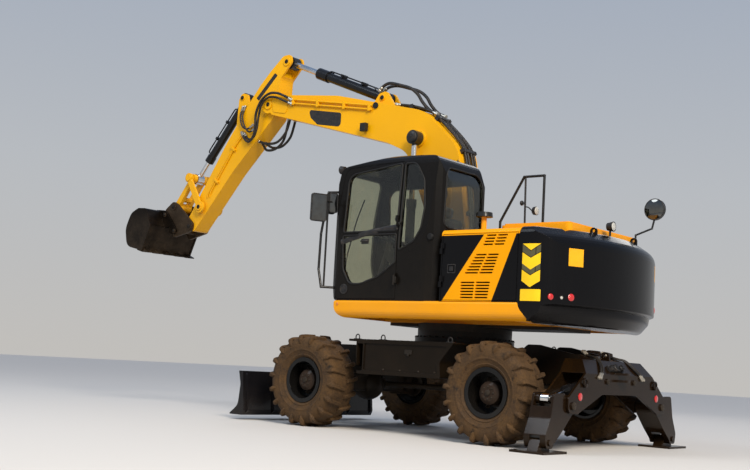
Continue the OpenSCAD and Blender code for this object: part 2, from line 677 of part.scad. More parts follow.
// Plan of the left half: the side runs through an arc into the tail's own circle
blend_r = 340;
blend_c = [-sqrt(pow(tail_r - blend_r, 2) - pow(weight_side - blend_r, 2)), weight_side - blend_r];
blend_a = atan2(blend_c.y, blend_c.x);
weight_half = concat([[-weight_x, weight_side]],
    [for (i = [0:8]) let (a = 90 + (blend_a - 90) * i / 8) blend_c + blend_r * [cos(a), sin(a)]],
    [tail_r * [cos(blend_a), sin(blend_a)] + 620 * [-sin(blend_a), cos(blend_a)]]);
weight_plan = concat(weight_half, [for (i = [len(weight_half) - 1:-1:0]) [weight_half[i].x,
    -weight_half[i].y]]);
weight_top = cowl_top + 18;
weight_end = [[-weight_side, weight_low - 5, 0], [weight_side, weight_low - 5, 0], [weight_side,
    weight_top, 100],
    [-weight_side, weight_top, 100]];
weight_eye = [250 - tail_r, 460];
// Round rear lamps: [angle about the slew centre, height, radius]
tail_lamps = [[148.1, 1551, 26], [151.4, 1551, 19], [154.3, 1560, 34]];
lamp_r = tail_r - 40;
module tail_lamp(row, play, reach)
    rotate([0, 0, row[0]]) translate([lamp_r, 0, row[1]]) rotate([0, 90, 0]) cylinder(h = reach,
        r = row[2] - play);
module counterweight() color("#101014") placed() {
    difference() {
        intersection() {
            rotate_extrude($fn = 128) polygon(outline(weight_rows, 4));
            floor_plate(weight_plan, weight_low - 5, cowl_top + 60);
            cross_plate(weight_end, -tail_r - 50, -weight_x);
        }
        block([-weight_in, -880, deck_top + panel_t], [-weight_x + cut, 880, cowl_top + 60]);
        side_plate(inset(deck_rows, -run), -half_house, half_house, 8);
        block([-weight_x - 151, -half_house, weight_low - 10], [-weight_x + cut, half_house, deck_z + 5]);
        both_sides() for (row = tail_lamps) tail_lamp(row, 0, 100);
    }
    both_sides() difference() {
        side_plate([[weight_eye.x - 40, weight_top - 60, 0], [weight_eye.x + 40, weight_top - 60, 0],
            [weight_eye.x + 40, weight_top + 60, 36], [weight_eye.x - 40, weight_top + 60, 36]],
            weight_eye.y - 11, weight_eye.y + 11);
        bar_y([weight_eye.x, weight_top + 26], 18, weight_eye.y - 20, weight_eye.y + 20);
    }
}

// Cowl around the engine, with a door at each side and the hood on top
cowl_front = cab_rear + 55;
cowl_rows = [[-half_house + 6, deck_top, 0], [half_house - 6, deck_top, 0], [half_house - 6, cowl_top - 30,
    45],
    [half_house - 40, cowl_top, 40], [40 - half_house, cowl_top, 40], [6 - half_house, cowl_top - 30, 45]];
door_top_z = cowl_top - 48;
door_win = [[-weight_x + 12, deck_top + 8], [-cowl_front - 14, deck_top + 8], [-cowl_front - 14, door_top_z],
    [-weight_x + 12, door_top_z]];
hood_front = cowl_front + 440;
hood_plan = [[-weight_in, -780, 60], [-hood_front, -780, 60], [-hood_front, 780, 60], [-weight_in, 780, 60]];
hood_hinge = [-hood_front + 16, cowl_top + 16];
hood_hinge_y = [-520, 400];
module cowl_form(d, x0, x1) cross_plate(inset(cowl_rows, d), x0, x1);
module cowl() color("#f2a100") placed() {
    both_sides() for (z = side_hinge_z) hinge_leaf(side_hinge.x, side_hinge.y, z, 1, 30);
    for (y = hood_hinge_y) {
        bar_y(hood_hinge, 13, y, y + leaf_h);
        block([hood_hinge.x + 2, y, cowl_top - 10], [hood_hinge.x + 28, y + leaf_h, hood_hinge.y]);
    }
    difference() {
        cowl_form(0, -weight_x, -cowl_front);
        cowl_form(panel_t, -weight_x - cut, -cowl_front - 25);
        both_sides() side_plate(door_win, half_house - 120, half_house + cut);
        floor_plate(hood_plan, 2170, cowl_top + cut);
    }
}
module hood() color("#f2a100") placed() difference() {
    union() {
        for (y = hood_hinge_y) {
            bar_y(hood_hinge, 13, y + leaf_h + run, y + 2 * leaf_h);
            block([hood_hinge.x - 50, y + leaf_h + run, hood_hinge.y], [hood_hinge.x, y + 2 * leaf_h,
                hood_hinge.y + 13]);
        }
        floor_plate(inset(hood_plan, door_gap), cowl_top - 40, hood_top - 20);
        floor_plate(inset(hood_plan, door_gap + 30), cowl_top - 40, hood_top);
    }
    floor_plate(inset(hood_plan, door_gap + 50), cowl_top - 41, hood_top - 30);
}
// Half of a door hinge on an upright axis, with the leaf that joins it to its panel on the side s
leaf_h = 60;
module hinge_leaf(x, y, z, s, reach) translate([x, y, z]) {
    cylinder(h = leaf_h, r = 13);
    translate([s > 0 ? 2 : -28, -reach, 0]) cube([26, reach, leaf_h]);
}
side_hinge = [-cowl_front - 17, half_house + 12];
side_hinge_z = [1640, 2000];
// Louvre fields: [lowest edge, rows, front edge, its lean, rear edge, its lean], the edges as distances
// behind the slew centre
vent_rows = [[1522, 6, 780, 0, 1130, 0.15], [1785, 7, 830, 0.7, 1180, 0.36], [2085, 4, 1050, 0.43, 1312,
    0.43]];
vent_pitch = 32;
vent_h = 16;
vent_web = 20;
module louvres() for (v = vent_rows, i = [0:v[1] - 1]) {
    rise = i * vent_pitch;
    front = v[2] + v[3] * rise;
    rear = v[4] + v[5] * rise;
    middle = (front + rear) / 2;
    for (span = [[front, middle - vent_web / 2], [middle + vent_web / 2, rear]])
        block([-span[1], half_house - 90, v[0] + rise], [-span[0], half_house + cut, v[0] + rise + vent_h]);
}
module service_door() {
    for (z = side_hinge_z) hinge_leaf(side_hinge.x, side_hinge.y, z + leaf_h + run, -1, 30);
    intersection() {
        difference() {
            cowl_form(0, -weight_x, -cowl_front);
            cowl_form(panel_t, -weight_x - cut, -cowl_front + cut);
            louvres();
        }
        side_plate(inset(door_win, door_gap), half_house - 90, half_house + cut);
    }
}
module service_door_l() color("#141416") placed() service_door();
module service_door_r() color("#141416") placed() mirror([0, 1, 0]) service_door();
module engine() color("#5a5a58") placed() block([90 - weight_in, -560, deck_top + panel_t], [-1060, 520,
    2080]);

// Fuel tank and tool locker at the right of the boom
tank_rows = [[-cab_rear, deck_top, 0], [980, deck_top, 0], [980, deck_top + 250, 40], [760, deck_top + 250,
    20],
    [760, deck_top + 470, 30], [420, deck_top + 470, 20], [420, cowl_top, 40], [-cab_rear, cowl_top, 0]];
module tank_box() color("#f2a100") placed() side_plate(tank_rows, -half_house + 6, -cab_in - 30);

// Handrails and mirrors
rail_r = 17;
module mirror_head(p, w, h, turn) translate(p) rotate([0, 0, turn])
    cross_plate([[-w / 2, -h / 2, 30], [w / 2, -h / 2, 30], [w / 2, h / 2, 30], [-w / 2, h / 2, 30]], -14,
        14);
rail_y = cab_out + 54;
tank_rail_y = 120 - half_house;
mirror_z = cab_top - 535;
disc_mirror = [130 - tail_r, -720, weight_top + 417];
mirror_post = [320 - tail_r, -640];
module rails() color("#17171a") placed() {
    bent_bar([[310, tank_rail_y, cowl_top], [310, tank_rail_y, 2700], [-30, tank_rail_y, 3270], [-330,
        tank_rail_y, 3270],
        [-330, tank_rail_y, cowl_top]], rail_r);
    bent_bar([[940, tank_rail_y, deck_top + 250], [940, tank_rail_y, 2150], [800, tank_rail_y, 2150],
        [800, tank_rail_y, deck_top + 250]], rail_r);
    difference() {
        union() {
            bent_bar([[cab_front - 85, rail_y - 140, mirror_z + 140], [cab_front - 15, rail_y,
                mirror_z + 120],
                [cab_front + 70, rail_y, 2270], [cab_front + 75, rail_y, 1850], [cab_front + 20, rail_y,
                    1640],
                [cab_front - 105, rail_y - 130, 1640]], 15);
            bar([cab_front - 15, rail_y, mirror_z + 120], [cab_front, rail_y - 21, 1640], 12);
            bent_bar([[cab_front - 65, rail_y - 140, mirror_z], [cab_front - 15, rail_y + 110, mirror_z + 20],
                [cab_front - 15, rail_y + 170, mirror_z]], 12);
            bar([cab_front - 55, rail_y - 90, mirror_z + 5], [cab_front + 30, rail_y - 90, mirror_z + 10],
                10);
            mirror_head([cab_front + 30, rail_y - 90, mirror_z], 120, 250, -25);
        }
        cab_form(0);
    }
    mirror_head([cab_front - 15, rail_y + 160, mirror_z - 80], 200, 330, -25);
    bent_bar([[mirror_post.x, mirror_post.y, weight_top], [mirror_post.x, mirror_post.y, weight_top + 117],
        [disc_mirror.x + 25, disc_mirror.y + 8, disc_mirror.z - 220], [disc_mirror.x, disc_mirror.y,
            disc_mirror.z - 100]], 11);
    bar_y([disc_mirror.x, disc_mirror.z], 125, disc_mirror.y - 20, disc_mirror.y + 16);
    translate([-840, half_house - 310, cowl_top]) {
        cylinder(h = 180, r = 30);
        translate([0, 0, 170]) cylinder(h = 50, r1 = 95, r2 = 88);
    }
}

// Cab, cut from three outlines
cab_side = [[-cab_rear, deck_top, 30], [1040, deck_top, 60], [cab_front, 2000, 500], [cab_front - 15, 2500,
    500],
    [1050, cab_top - 110, 120], [300, cab_top, 900], [-cab_rear + 90, cab_top - 45, 150], [-cab_rear,
        cab_top - 320, 200]];
cab_end = [[cab_in, deck_top, 0], [cab_out - 10, deck_top, 0], [cab_out, 2150, 600], [cab_out - 66,
    cab_top, 140],
    [cab_in + 40, cab_top, 110], [cab_in, 2600, 0]];
cab_plan = [[-cab_rear, cab_in, 40], [cab_front, cab_in, 60], [cab_front, cab_out, 210], [-cab_rear,
    cab_out, 230]];
module cab_form(d) intersection() {
    side_plate(inset(cab_side, d), cab_in + d, cab_out);
    cross_plate(inset(cab_end, d), -cab_rear, cab_front);
    floor_plate(inset(cab_plan, d), deck_top, cab_top + cut);
}
module cab_walls() difference() {
    cab_form(0);
    cab_form(cab_wall);
}
door_front = 1035;
door_rows = [[door_x, deck_top + 20, 10], [door_front - 30, deck_top + 20, 40], [door_front + 20, 2000, 300],
    [door_front + 20, 2500, 300], [door_front - 60, cab_top - 130, 100], [door_x, cab_top - 95, 10]];
low_glass = [[door_x + 25, 2235, 20], [door_x + 25, 1925, 30], [380, 1765, 500], [640, 1685, 300], [800,
    1690, 90],
    [900, 1850, 150], [door_front - 110, 2235, 20]];
top_glass = [[door_x + 25, 2290, 20], [door_front - 110, 2290, 20], [door_front - 120, cab_top - 215, 110],
    [door_x + 25, cab_top - 125, 20]];
quarter_glass = [[85, 2070, 10], [85, 3050, 20], [-60, 3045, 120], [-185, 2850, 150], [-225, 2540, 300],
    [-195, 2300, 200], [-110, 2160, 80]];
side_glass = [[-320, 1980, 60], [930, 1980, 60], [960, 2900, 120], [-320, 2900, 100]];
front_glass = [[cab_in + 90, 1680, 40], [cab_out - 110, 1680, 40], [cab_out - 130, 2990, 60],
    [cab_in + 100, 2990, 60]];
rear_glass = [[cab_in + 60, 2320, 70], [cab_out - 135, 2320, 70], [cab_out - 150, 2990, 110], [cab_in + 75,
    2990, 110]];
module cab_windows(d) {
    side_plate(inset(quarter_glass, d), cab_out - 150, cab_out + 10);
    side_plate(inset(side_glass, d), cab_in - 10, cab_in + 100);
    cross_plate(inset(front_glass, d), cab_front - 300, cab_front + 10);
    cross_plate(inset(rear_glass, d), -cab_rear - 10, -cab_rear + 120);
}
module door_windows(d) for (rows = [low_glass, top_glass])
    side_plate(inset(rows, d), cab_out - 150, cab_out + 10);
module pane_layer() difference() {
    cab_form(15);
    cab_form(15 + glass_t);
}
cab_hinge = [door_x - 3, cab_out + 16];
cab_hinge_z = [1680, 2330];
module cab_shell() color("#0e0f12") placed() {
    for (z = cab_hinge_z) hinge_leaf(cab_hinge.x, cab_hinge.y, z, -1, 40);
    difference() {
        cab_walls();
        side_plate(inset(door_rows, -door_gap), cab_out - 190, cab_out + 10);
        cab_windows(0);
    }
}
module cab_glass() color("#6b7f86", 0.4) placed() intersection() {
    pane_layer();
    cab_windows(run);
}
module cab_door() color("#0e0f12") placed() {
    for (z = cab_hinge_z) hinge_leaf(cab_hinge.x, cab_hinge.y, z + leaf_h + run, 1, 40);
    difference() {
        intersection() {
            cab_walls();
            side_plate(door_rows, cab_out - 160, cab_out + 10);
        }
        door_windows(0);
    }
}
module door_glass() color("#6b7f86", 0.4) placed() intersection() {
    pane_layer();
    door_windows(run);
}
seat_y = (cab_in + cab_out) / 2;
cab_half = (cab_out - cab_in) / 2 - cab_wall;
module operator_chair() color("#26262a") placed() {
    translate([60, seat_y, deck_top + cab_wall]) {
        translate([-220, -180, 0]) cube([420, 360, 330]);
        side_plate([[-230, 330, 40], [260, 330, 40], [260, 450, 60], [-120, 430, 40], [-215, 930, 60],
            [-345, 930, 60]], -250, 250);
        both_sides() {
            side_plate([[-150, 100, 20], [260, 100, 20], [330, 560, 40], [-60, 560, 40]], 250, 320);
            bar([270, 285, 540], [300, 285, 690], 14);
            translate([303, 285, 705]) sphere(r = 32, $fn = 24);
        }
        side_plate([[-305, 925, 30], [-225, 925, 30], [-220, 1075, 40], [-310, 1075, 40]], -130, 130);
    }
}
wheel_hub = [560, 2235];
column_foot = [760, deck_top + cab_wall];
module cab_controls() color("#1a1a1d") placed() translate([0, seat_y, 0]) {
    side_plate([[600, column_foot.y, 0], [900, column_foot.y, 0], [860, 1740, 60], [650, 1800, 60]], -120,
        120);
    bar([column_foot.x - 20, 0, 1700], [wheel_hub.x, 0, wheel_hub.y], 38);
    translate([wheel_hub.x, 0, wheel_hub.y]) rotate([0, -20, 0]) {
        rotate_extrude($fn = 48) translate([178, 0]) circle(r = 15, $fn = 12);
        for (a = [0, 120, 240]) rotate([0, 0, a]) translate([0, -14, -8]) cube([176, 28, 16]);
        translate([0, 0, -20]) cylinder(h = 34, r = 52);
    }
    block([800, -cab_half + 20, column_foot.y], [840, -cab_half + 60, 2160]);
    block([790, -cab_half + 15, 2150], [840, -cab_half + 210, 2360]);
    for (y = [-260, 190]) side_plate([[880, column_foot.y, 0], [980, column_foot.y, 0], [850, 1640, 0],
        [830, 1620, 0]], y, y + 70);
}
roof_lamp = [cab_front - 80, cab_top - 115];
roof_lamp_y = [cab_in + 140, cab_out - 140];
rear_lamp = [250 - tail_r, 100, weight_top + 117];
module lamps() color("#2a2a2c") placed() {
    both_sides() for (row = tail_lamps) tail_lamp(row, run, row[2] + 6);
    difference() {
        for (y = roof_lamp_y) translate([roof_lamp.x, y, roof_lamp.y]) {
            rotate([0, 90, 0]) cylinder(h = 60, r1 = 40, r2 = 50);
            bar([10, 0, 0], [-90, 0, -30], 18);
        }
        cab_form(0);
    }
    translate([rear_lamp.x, rear_lamp.y, weight_top]) cylinder(h = rear_lamp.z - weight_top, r = 12);
    translate(rear_lamp) rotate([0, -90, 0]) translate([0, 0, -30]) cylinder(h = 70, r1 = 42, r2 = 55);
}

// Boom
boom_rows = [[-145, foot_pin.y - 10, 0], [85, 3420, 500], [620, 3930, 600], [2100, 4285, 900],
    [dipper_pin.x, 4440, 0],
    [dipper_pin.x + 120, 4360, 40], [dipper_pin.x - 70, 4150, 40], [2770, 4000, 0], [1210, 3575, 200],
        [880, 3430, 300], [150, foot_pin.y - 20, 0]];
fork_x = 2960;
fork_t = (boom_w - dipper_w) / 2 - 10;
module boom_form() difference() {
    union() {
        side_plate(boom_rows, -half_boom, half_boom);
        bar_y(foot_pin, 150, -half_boom, half_boom);
        bar_y(dipper_pin, 125, -half_boom, half_boom);
        both_sides() {
            bar_y(boom_eye, 105, half_boom - 1, cyl_y - rod_eye_w / 2 - run);
            side_plate([[dipper_base.x - 260, 4000, 0], [dipper_base.x + 160, 4120, 0],
                [dipper_base.x + 60, dipper_base.y + 60, 60],
                [dipper_base.x - 60, dipper_base.y + 85, 60]], ear_in, ear_in + 38);
        }
    }
    bar_y(foot_pin, bore_r, -half_boom - cut, half_boom + cut);
    block([fork_x, -half_boom + fork_t, 3900], [dipper_pin.x + 300, half_boom - fork_t, 4600]);
    bar_y(dipper_base, 110, -ear_in, ear_in);
    block([dipper_base.x, -ear_in, dipper_base.y - 100], [dipper_base.x + 500, ear_in, dipper_base.y + 200]);
}
// Raised plate at the boom's tip, and the pipes along both its sides: [x, z] to [x, z]
tip_rows = [[3020, 4205, 40], [3060, 4140, 30], [3290, 4180, 30], [3350, 4395, 30], [3110, 4385, 40],
    [3020, 4335, 40]];
pipe_rows = [[1480, 4085, 2960, 4325], [1480, 4030, 2960, 4270]];
pipe_y = half_boom + 22;
pipe_lean = (pipe_rows[1][3] - pipe_rows[1][1]) / (pipe_rows[1][2] - pipe_rows[1][0]);
clamp_x = [1520, 1960, 2440, 2900];
module boom() color("#f7ab05") placed() {
    boom_form();
    bar_y(dipper_base, pin_r, -ear_in - 50, ear_in + 50);
    bar_y(dipper_pin, pin_r, -half_boom - 14, half_boom + 14);
    both_sides() {
        bar_y(dipper_pin, 70, half_boom - 1, half_boom + 14);
        side_plate(tip_rows, half_boom - 1, half_boom + 8);
        for (p = pipe_rows) bar([p[0], pipe_y, p[1]], [p[2], pipe_y, p[3]], 12);
        for (x = clamp_x) let (z = pipe_rows[1][1] + (x - pipe_rows[1][0]) * pipe_lean)
            block([x - 20, half_boom - 1, z - 22], [x + 20, pipe_y + 16, z + 78]);
        bar_y([1430, 4080], 42, half_boom - 1, half_boom + 16);
    }
    block([1545, half_boom - 1, 3790], [1585, half_boom + 30, 3815]);
    block([1520, half_boom + 25, 3745], [1610, half_boom + 85, 3850]);
}

// Dipper
half_dipper = dipper_w / 2;
dipper_rows = [[3085, 5000, 60], [3060, 4885, 70], [3262, 4670, 80], [3268, 4470, 150], [3340, 4130, 150],
    [4110, 3390, 0], [4850, 2555, 60],
    [5010, 2600, 60], [5000, 2740, 0], [4270, 3830, 0], [3900, 4330, 0], [3650, 4620, 80], [3450, 4810,
        80], [3230, 4990, 90]];
module dipper() color("#f7ab05") placed() difference() {
    union() {
        side_plate(dipper_rows, -half_dipper, half_dipper);
        bar_y(dipper_pin, pin_r + 40, -half_boom + fork_t + run, half_boom - fork_t - run);
        both_sides() {
            side_plate([[3880, 4300, 0], [4130, 4000, 0], [bucket_base.x + 75, bucket_base.y - 20, 50],
                [bucket_base.x + 20, bucket_base.y + 75, 60], [bucket_base.x - 100, bucket_base.y + 40,
                    50]], 62, 96);
            bar_y(dipper_eye, 60, half_dipper - 1, half_dipper + 14);
        }
        bar_y(bucket_base, pin_r, -106, 106);
    }
    bar_y(dipper_pin, bore_r, -half_dipper - 20, half_dipper + 20);
    side_plate([[2850, 4600, 0], [3170, 4600, 0], [3280, 4800, 60], [3280, 5100, 0], [2850, 5100, 0]],
        -100, 100);
    bar_y(bucket_pin, bore_r, -half_dipper - cut, half_dipper + cut);
    bar_y(rocker_pin, bore_r, -half_dipper - cut, half_dipper + cut);
}

// Boom, dipper and bucket cylinders
boom_reach = norm(boom_eye - boom_base);
boom_tube_len = 1265;
module boom_tubes() color("#15151a") placed() both_sides() translate([0, cyl_y, 0])
    aimed(boom_base, boom_eye) barrel(boom_tube_len, boom_barrel_d, 80, 63.4, 72, pin_r);
module boom_rods() color("#d0d0ce") placed() both_sides() translate([0, cyl_y, 0])
    aimed(boom_base, boom_eye) rod(808, boom_reach, 72, 88, rod_eye_w, rod_eye_w);
dipper_reach = norm(dipper_eye - dipper_base);
dipper_tube_len = 1330;
module dipper_tube() color("#15151a") placed()
    aimed(dipper_base, dipper_eye) barrel(dipper_tube_len, dipper_barrel_d, 85, 123.4, 80, pin_r, 200, 15);
module dipper_rod() color("#d0d0ce") placed()
    aimed(dipper_base, dipper_eye) rod(540, dipper_reach, 80, 88, 140, 199.4);
bucket_reach = norm(rocker_eye - bucket_base);
bucket_tube_len = 1140;
module bucket_tube() color("#15151a") placed()
    aimed(bucket_base, rocker_eye) barrel(bucket_tube_len, bucket_barrel_d, 80, 123.4, 70, pin_r);
module bucket_rod() color("#d0d0ce") placed()
    aimed(bucket_base, rocker_eye) rod(360, bucket_reach, 70, 78, 2 * eye_half, 2 * (link_in - run));

// Bucket linkage
module strap(a, b, ra, rb, w, y0, y1) {
    d = unit(b - a);
    n = [-d.y, d.x] * w;
    bar_y(a, ra, y0, y1);
    bar_y(b, rb, y0, y1);
    side_plate([a - n, b - n * 0.8, b + n * 0.8, a + n], y0, y1);
}
module rocker() color("#f7ab05") placed() {
    both_sides() {
        strap(rocker_pin, rocker_eye, 85, 70, 52, rocker_in, rocker_out);
        bar_y(rocker_pin, pin_r + 14, rocker_out - 1, rocker_out + 12);
        bar_y(rocker_eye, pin_r + 12, rocker_out - 1, rocker_out + 12);
    }
    bar_y(rocker_pin, pin_r, -rocker_in - 1, rocker_in + 1);
}
module link() color("#f7ab05") placed() difference() {
    union() {
        both_sides() {
            strap(link_pin, rocker_eye, 75, 68, 44, link_in, link_out);
            bar_y(rocker_eye, pin_r - 4, link_out - 1, hitch_out);
        }
        bar_y(along(link_pin, rocker_eye, 150), 38, -link_in - 5, link_in + 5);
        bar_y(link_pin, 75, -link_in - 5, link_in + 5);
    }
    bar_y(link_pin, bore_r, -link_out - cut, link_out + cut);
}
hitch_rows = [[bucket_pin.x - 75, bucket_pin.y + 40, 60], [bucket_pin.x - 60, bucket_pin.y - 70, 60],
    [hook_near.x + 40, hook_near.y - 95, 70], [hook_far.x + 30, hook_far.y - 50, 50], [hook_far.x + 40,
        hook_far.y + 80, 60],
    [link_pin.x + 10, link_pin.y + 85, 70], [link_pin.x - 80, link_pin.y + 40, 60]];
module hitch() color("#4a3a2c") placed() {
    both_sides() side_plate(hitch_rows, hitch_in, hitch_out);
    for (p = [bucket_pin, link_pin]) bar_y(p, pin_r, -hitch_in - 1, hitch_in + 1);
    both_sides() for (p = [bucket_pin, link_pin]) bar_y(p, 56, hitch_out - 1, hitch_out + 10);
    side_plate([[bucket_pin.x + 170, bucket_pin.y - 110, 20], [hook_far.x + 20, hook_far.y - 60, 20],
        [hook_far.x - 40, hook_far.y + 50, 20], [bucket_pin.x + 190, bucket_pin.y + 30, 20]],
            -hitch_in - 1, hitch_in + 1);
    both_sides() for (p = [hook_near, hook_far]) bar_y(p, 32, hitch_in, hitch_out + 44);
}

// Bucket, an open shell between two side plates
bucket_out = [[5470, 2690, 40], [5430, 2620, 0], [5590, 2255, 0], [5950, 2330, 150], [6010, 2600, 220],
    [5900, 2830, 160], [5740, 2900, 60], [5560, 2890, 60]];
bucket_in = [[5440, 2640, 0], [5605, 2275, 0], [5935, 2350, 130], [5985, 2595, 200], [5885, 2805, 140],
    [5735, 2875, 50], [5580, 2865, 50],
    [5492, 2676, 20]];
// One tooth from its root in the lip to its point
tooth_rows = [[5720, 2318, 0], [5580, 2288, 0], [5462, 2238, 0], [5466, 2226, 0], [5596, 2236, 0], [5720,
    2268, 0]];
tooth_w = 76;
tooth_count = 5;
module bucket() color("#141417") placed() {
    difference() {
        union() {
            side_plate(bucket_out, -bucket_w / 2, bucket_w / 2);
            both_sides() side_plate([[hook_near.x - 50, hook_near.y + 10, 40], [hook_near.x + 10,
                hook_near.y - 60, 40], [5480, 2600, 0],
                [5600, 2780, 0], [5640, 2905, 0], [hook_far.x + 10, hook_far.y + 70, 50], [hook_far.x - 60,
                    hook_far.y + 20, 50]],
                hitch_out + 6, hitch_out + 34);
        }
        side_plate(bucket_in, -bucket_w / 2 + bucket_t, bucket_w / 2 - bucket_t);
        side_plate([[5300, 2640, 0], [5500, 2150, 0], [5600, 2262, 0], [5441, 2628, 0]],
            -bucket_w / 2 + bucket_t, bucket_w / 2 - bucket_t);
        for (p = [hook_near, hook_far]) bar_y(p, 32 + run, -hitch_out - 60, hitch_out + 60);
    }
    for (i = [0:tooth_count - 1]) {
        y = (i / (tooth_count - 1) - 0.5) * (bucket_w - tooth_w - 2 * bucket_t);
        side_plate(tooth_rows, y - tooth_w / 2, y + tooth_w / 2);
    }
}

chassis();
lockers();
slew_ring();
driveline();
rear_axle();
front_axle();
steer_rod();
knuckle_l();
knuckle_r();
rim_fl();
rim_fr();
rim_rl();
rim_rr();
tyre_fl();
tyre_fr();
tyre_rl();
tyre_rr();
stab_frame();
stab_leg_l();
stab_leg_r();
stab_pad_l();
stab_pad_r();
stab_tube_l();
stab_tube_r();
stab_rod_l();
stab_rod_r();
blade();
blade_arms();
blade_links();
blade_tubes();
blade_rods();
deck();
boom_tower();
counterweight();
cowl();
hood();
service_door_l();
service_door_r();
engine();
tank_box();
rails();
cab_shell();
cab_glass();
cab_door();
door_glass();
operator_chair();
cab_controls();
lamps();
boom();
boom_tubes();
boom_rods();
dipper();
dipper_tube();
dipper_rod();
bucket_tube();
bucket_rod();
rocker();
link();
hitch();
bucket();
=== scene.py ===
import json
import math
from contextlib import contextmanager
import bmesh
import bpy
from mathutils import Matrix, Vector
from mathutils.bvhtree import BVHTree


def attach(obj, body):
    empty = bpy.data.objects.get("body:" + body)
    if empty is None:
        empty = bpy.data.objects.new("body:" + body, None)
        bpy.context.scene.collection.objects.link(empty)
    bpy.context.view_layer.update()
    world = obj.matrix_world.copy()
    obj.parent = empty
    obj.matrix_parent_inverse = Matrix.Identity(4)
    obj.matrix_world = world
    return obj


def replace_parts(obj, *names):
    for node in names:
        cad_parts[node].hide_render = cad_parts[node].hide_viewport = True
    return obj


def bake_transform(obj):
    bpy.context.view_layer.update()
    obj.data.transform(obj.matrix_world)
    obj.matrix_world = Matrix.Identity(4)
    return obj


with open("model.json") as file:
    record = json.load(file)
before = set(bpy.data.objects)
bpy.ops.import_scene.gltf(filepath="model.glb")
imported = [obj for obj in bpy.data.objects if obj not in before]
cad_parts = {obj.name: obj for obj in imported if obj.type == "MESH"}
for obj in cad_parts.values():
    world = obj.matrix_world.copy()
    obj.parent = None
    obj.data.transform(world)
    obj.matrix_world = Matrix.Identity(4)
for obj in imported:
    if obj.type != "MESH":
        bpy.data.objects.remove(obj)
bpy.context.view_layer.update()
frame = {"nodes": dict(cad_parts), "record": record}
NODES = frame["nodes"]
BODY_OF = {node: body for body, nodes in frame["record"]["behaviour"]["bodies"].items() for node in nodes}

# Places and sizes of the machine in metres. Along X they count from the slew axis.
SLEW = -1.905  # the slew axis in the frame
SIDES = ((1, "l"), (-1, "r"))  # left and right: factor for y, and tag in names
AXLE_Z = .541
FRONT_AXLE, REAR_AXLE = 1.45, -1.15
WHEELS = (("fl", FRONT_AXLE, 1), ("fr", FRONT_AXLE, -1), ("rl", REAR_AXLE, 1), ("rr", REAR_AXLE, -1))
TYRE_Y = 1.042  # middle plane of a tyre
RIM_FACE_Y = 1  # the wheel nuts sit on it
BOOM_EYE = (.7, 3.58)  # pins of the cylinder rods as (x, z)
DIPPER_EYE = (3.15, 4.9)
BUCKET_EYE = (5, 3.36)
HOOKS = ((5.21, 2.57), (5.45, 2.82))  # pins in the quick hitch's hooks
CHAIR_X, CHAIR_Y, CHAIR_Z = .06, .7905, 1.535  # middle of the chair's foot
BAR_Y = -1.12  # inner bar of the right handrail

# The photograph's camera, solved from known points of the machine
YAW, PITCH, ROLL = (math.radians(a) for a in (-50.073, 6.525, 3.244))
FOCAL_LENGTH, IMAGE_WIDTH = 1127.07, 750  # in pixels
CAMERA_PLACE = (-7.7775 + SLEW, 11.0622, .7726)
SENSOR = 36


def vec(*p):
    return Vector(p)


# Camera and stage
def make_camera():
    ahead = vec(math.cos(YAW) * math.cos(PITCH), math.sin(YAW) * math.cos(PITCH), math.sin(PITCH))
    level = vec(math.sin(YAW), -math.cos(YAW), 0)
    up = level.cross(ahead)
    right = math.cos(ROLL) * level + math.sin(ROLL) * up
    above = -math.sin(ROLL) * level + math.cos(ROLL) * up
    data = bpy.data.cameras.new("camera")
    data.sensor_width = SENSOR
    data.lens = FOCAL_LENGTH / IMAGE_WIDTH * SENSOR
    cam = bpy.data.objects.new("camera", data)
    turn = Matrix((right, above, -ahead)).transposed().to_4x4()
    cam.matrix_world = Matrix.Translation(CAMERA_PLACE) @ turn
    bpy.context.scene.collection.objects.link(cam)
    bpy.context.scene.camera = cam
    bpy.context.scene.view_settings.view_transform = "Standard"


def make_light(name, kind, place, target, power, colour):
    data = bpy.data.lights.new(name, kind)
    data.energy = power
    data.color = colour
    lamp = bpy.data.objects.new(name, data)
    lamp.location = place
    lamp.rotation_euler = (Vector(target) - Vector(place)).to_track_quat("-Z", "Y").to_euler()
    bpy.context.scene.collection.objects.link(lamp)
    return data


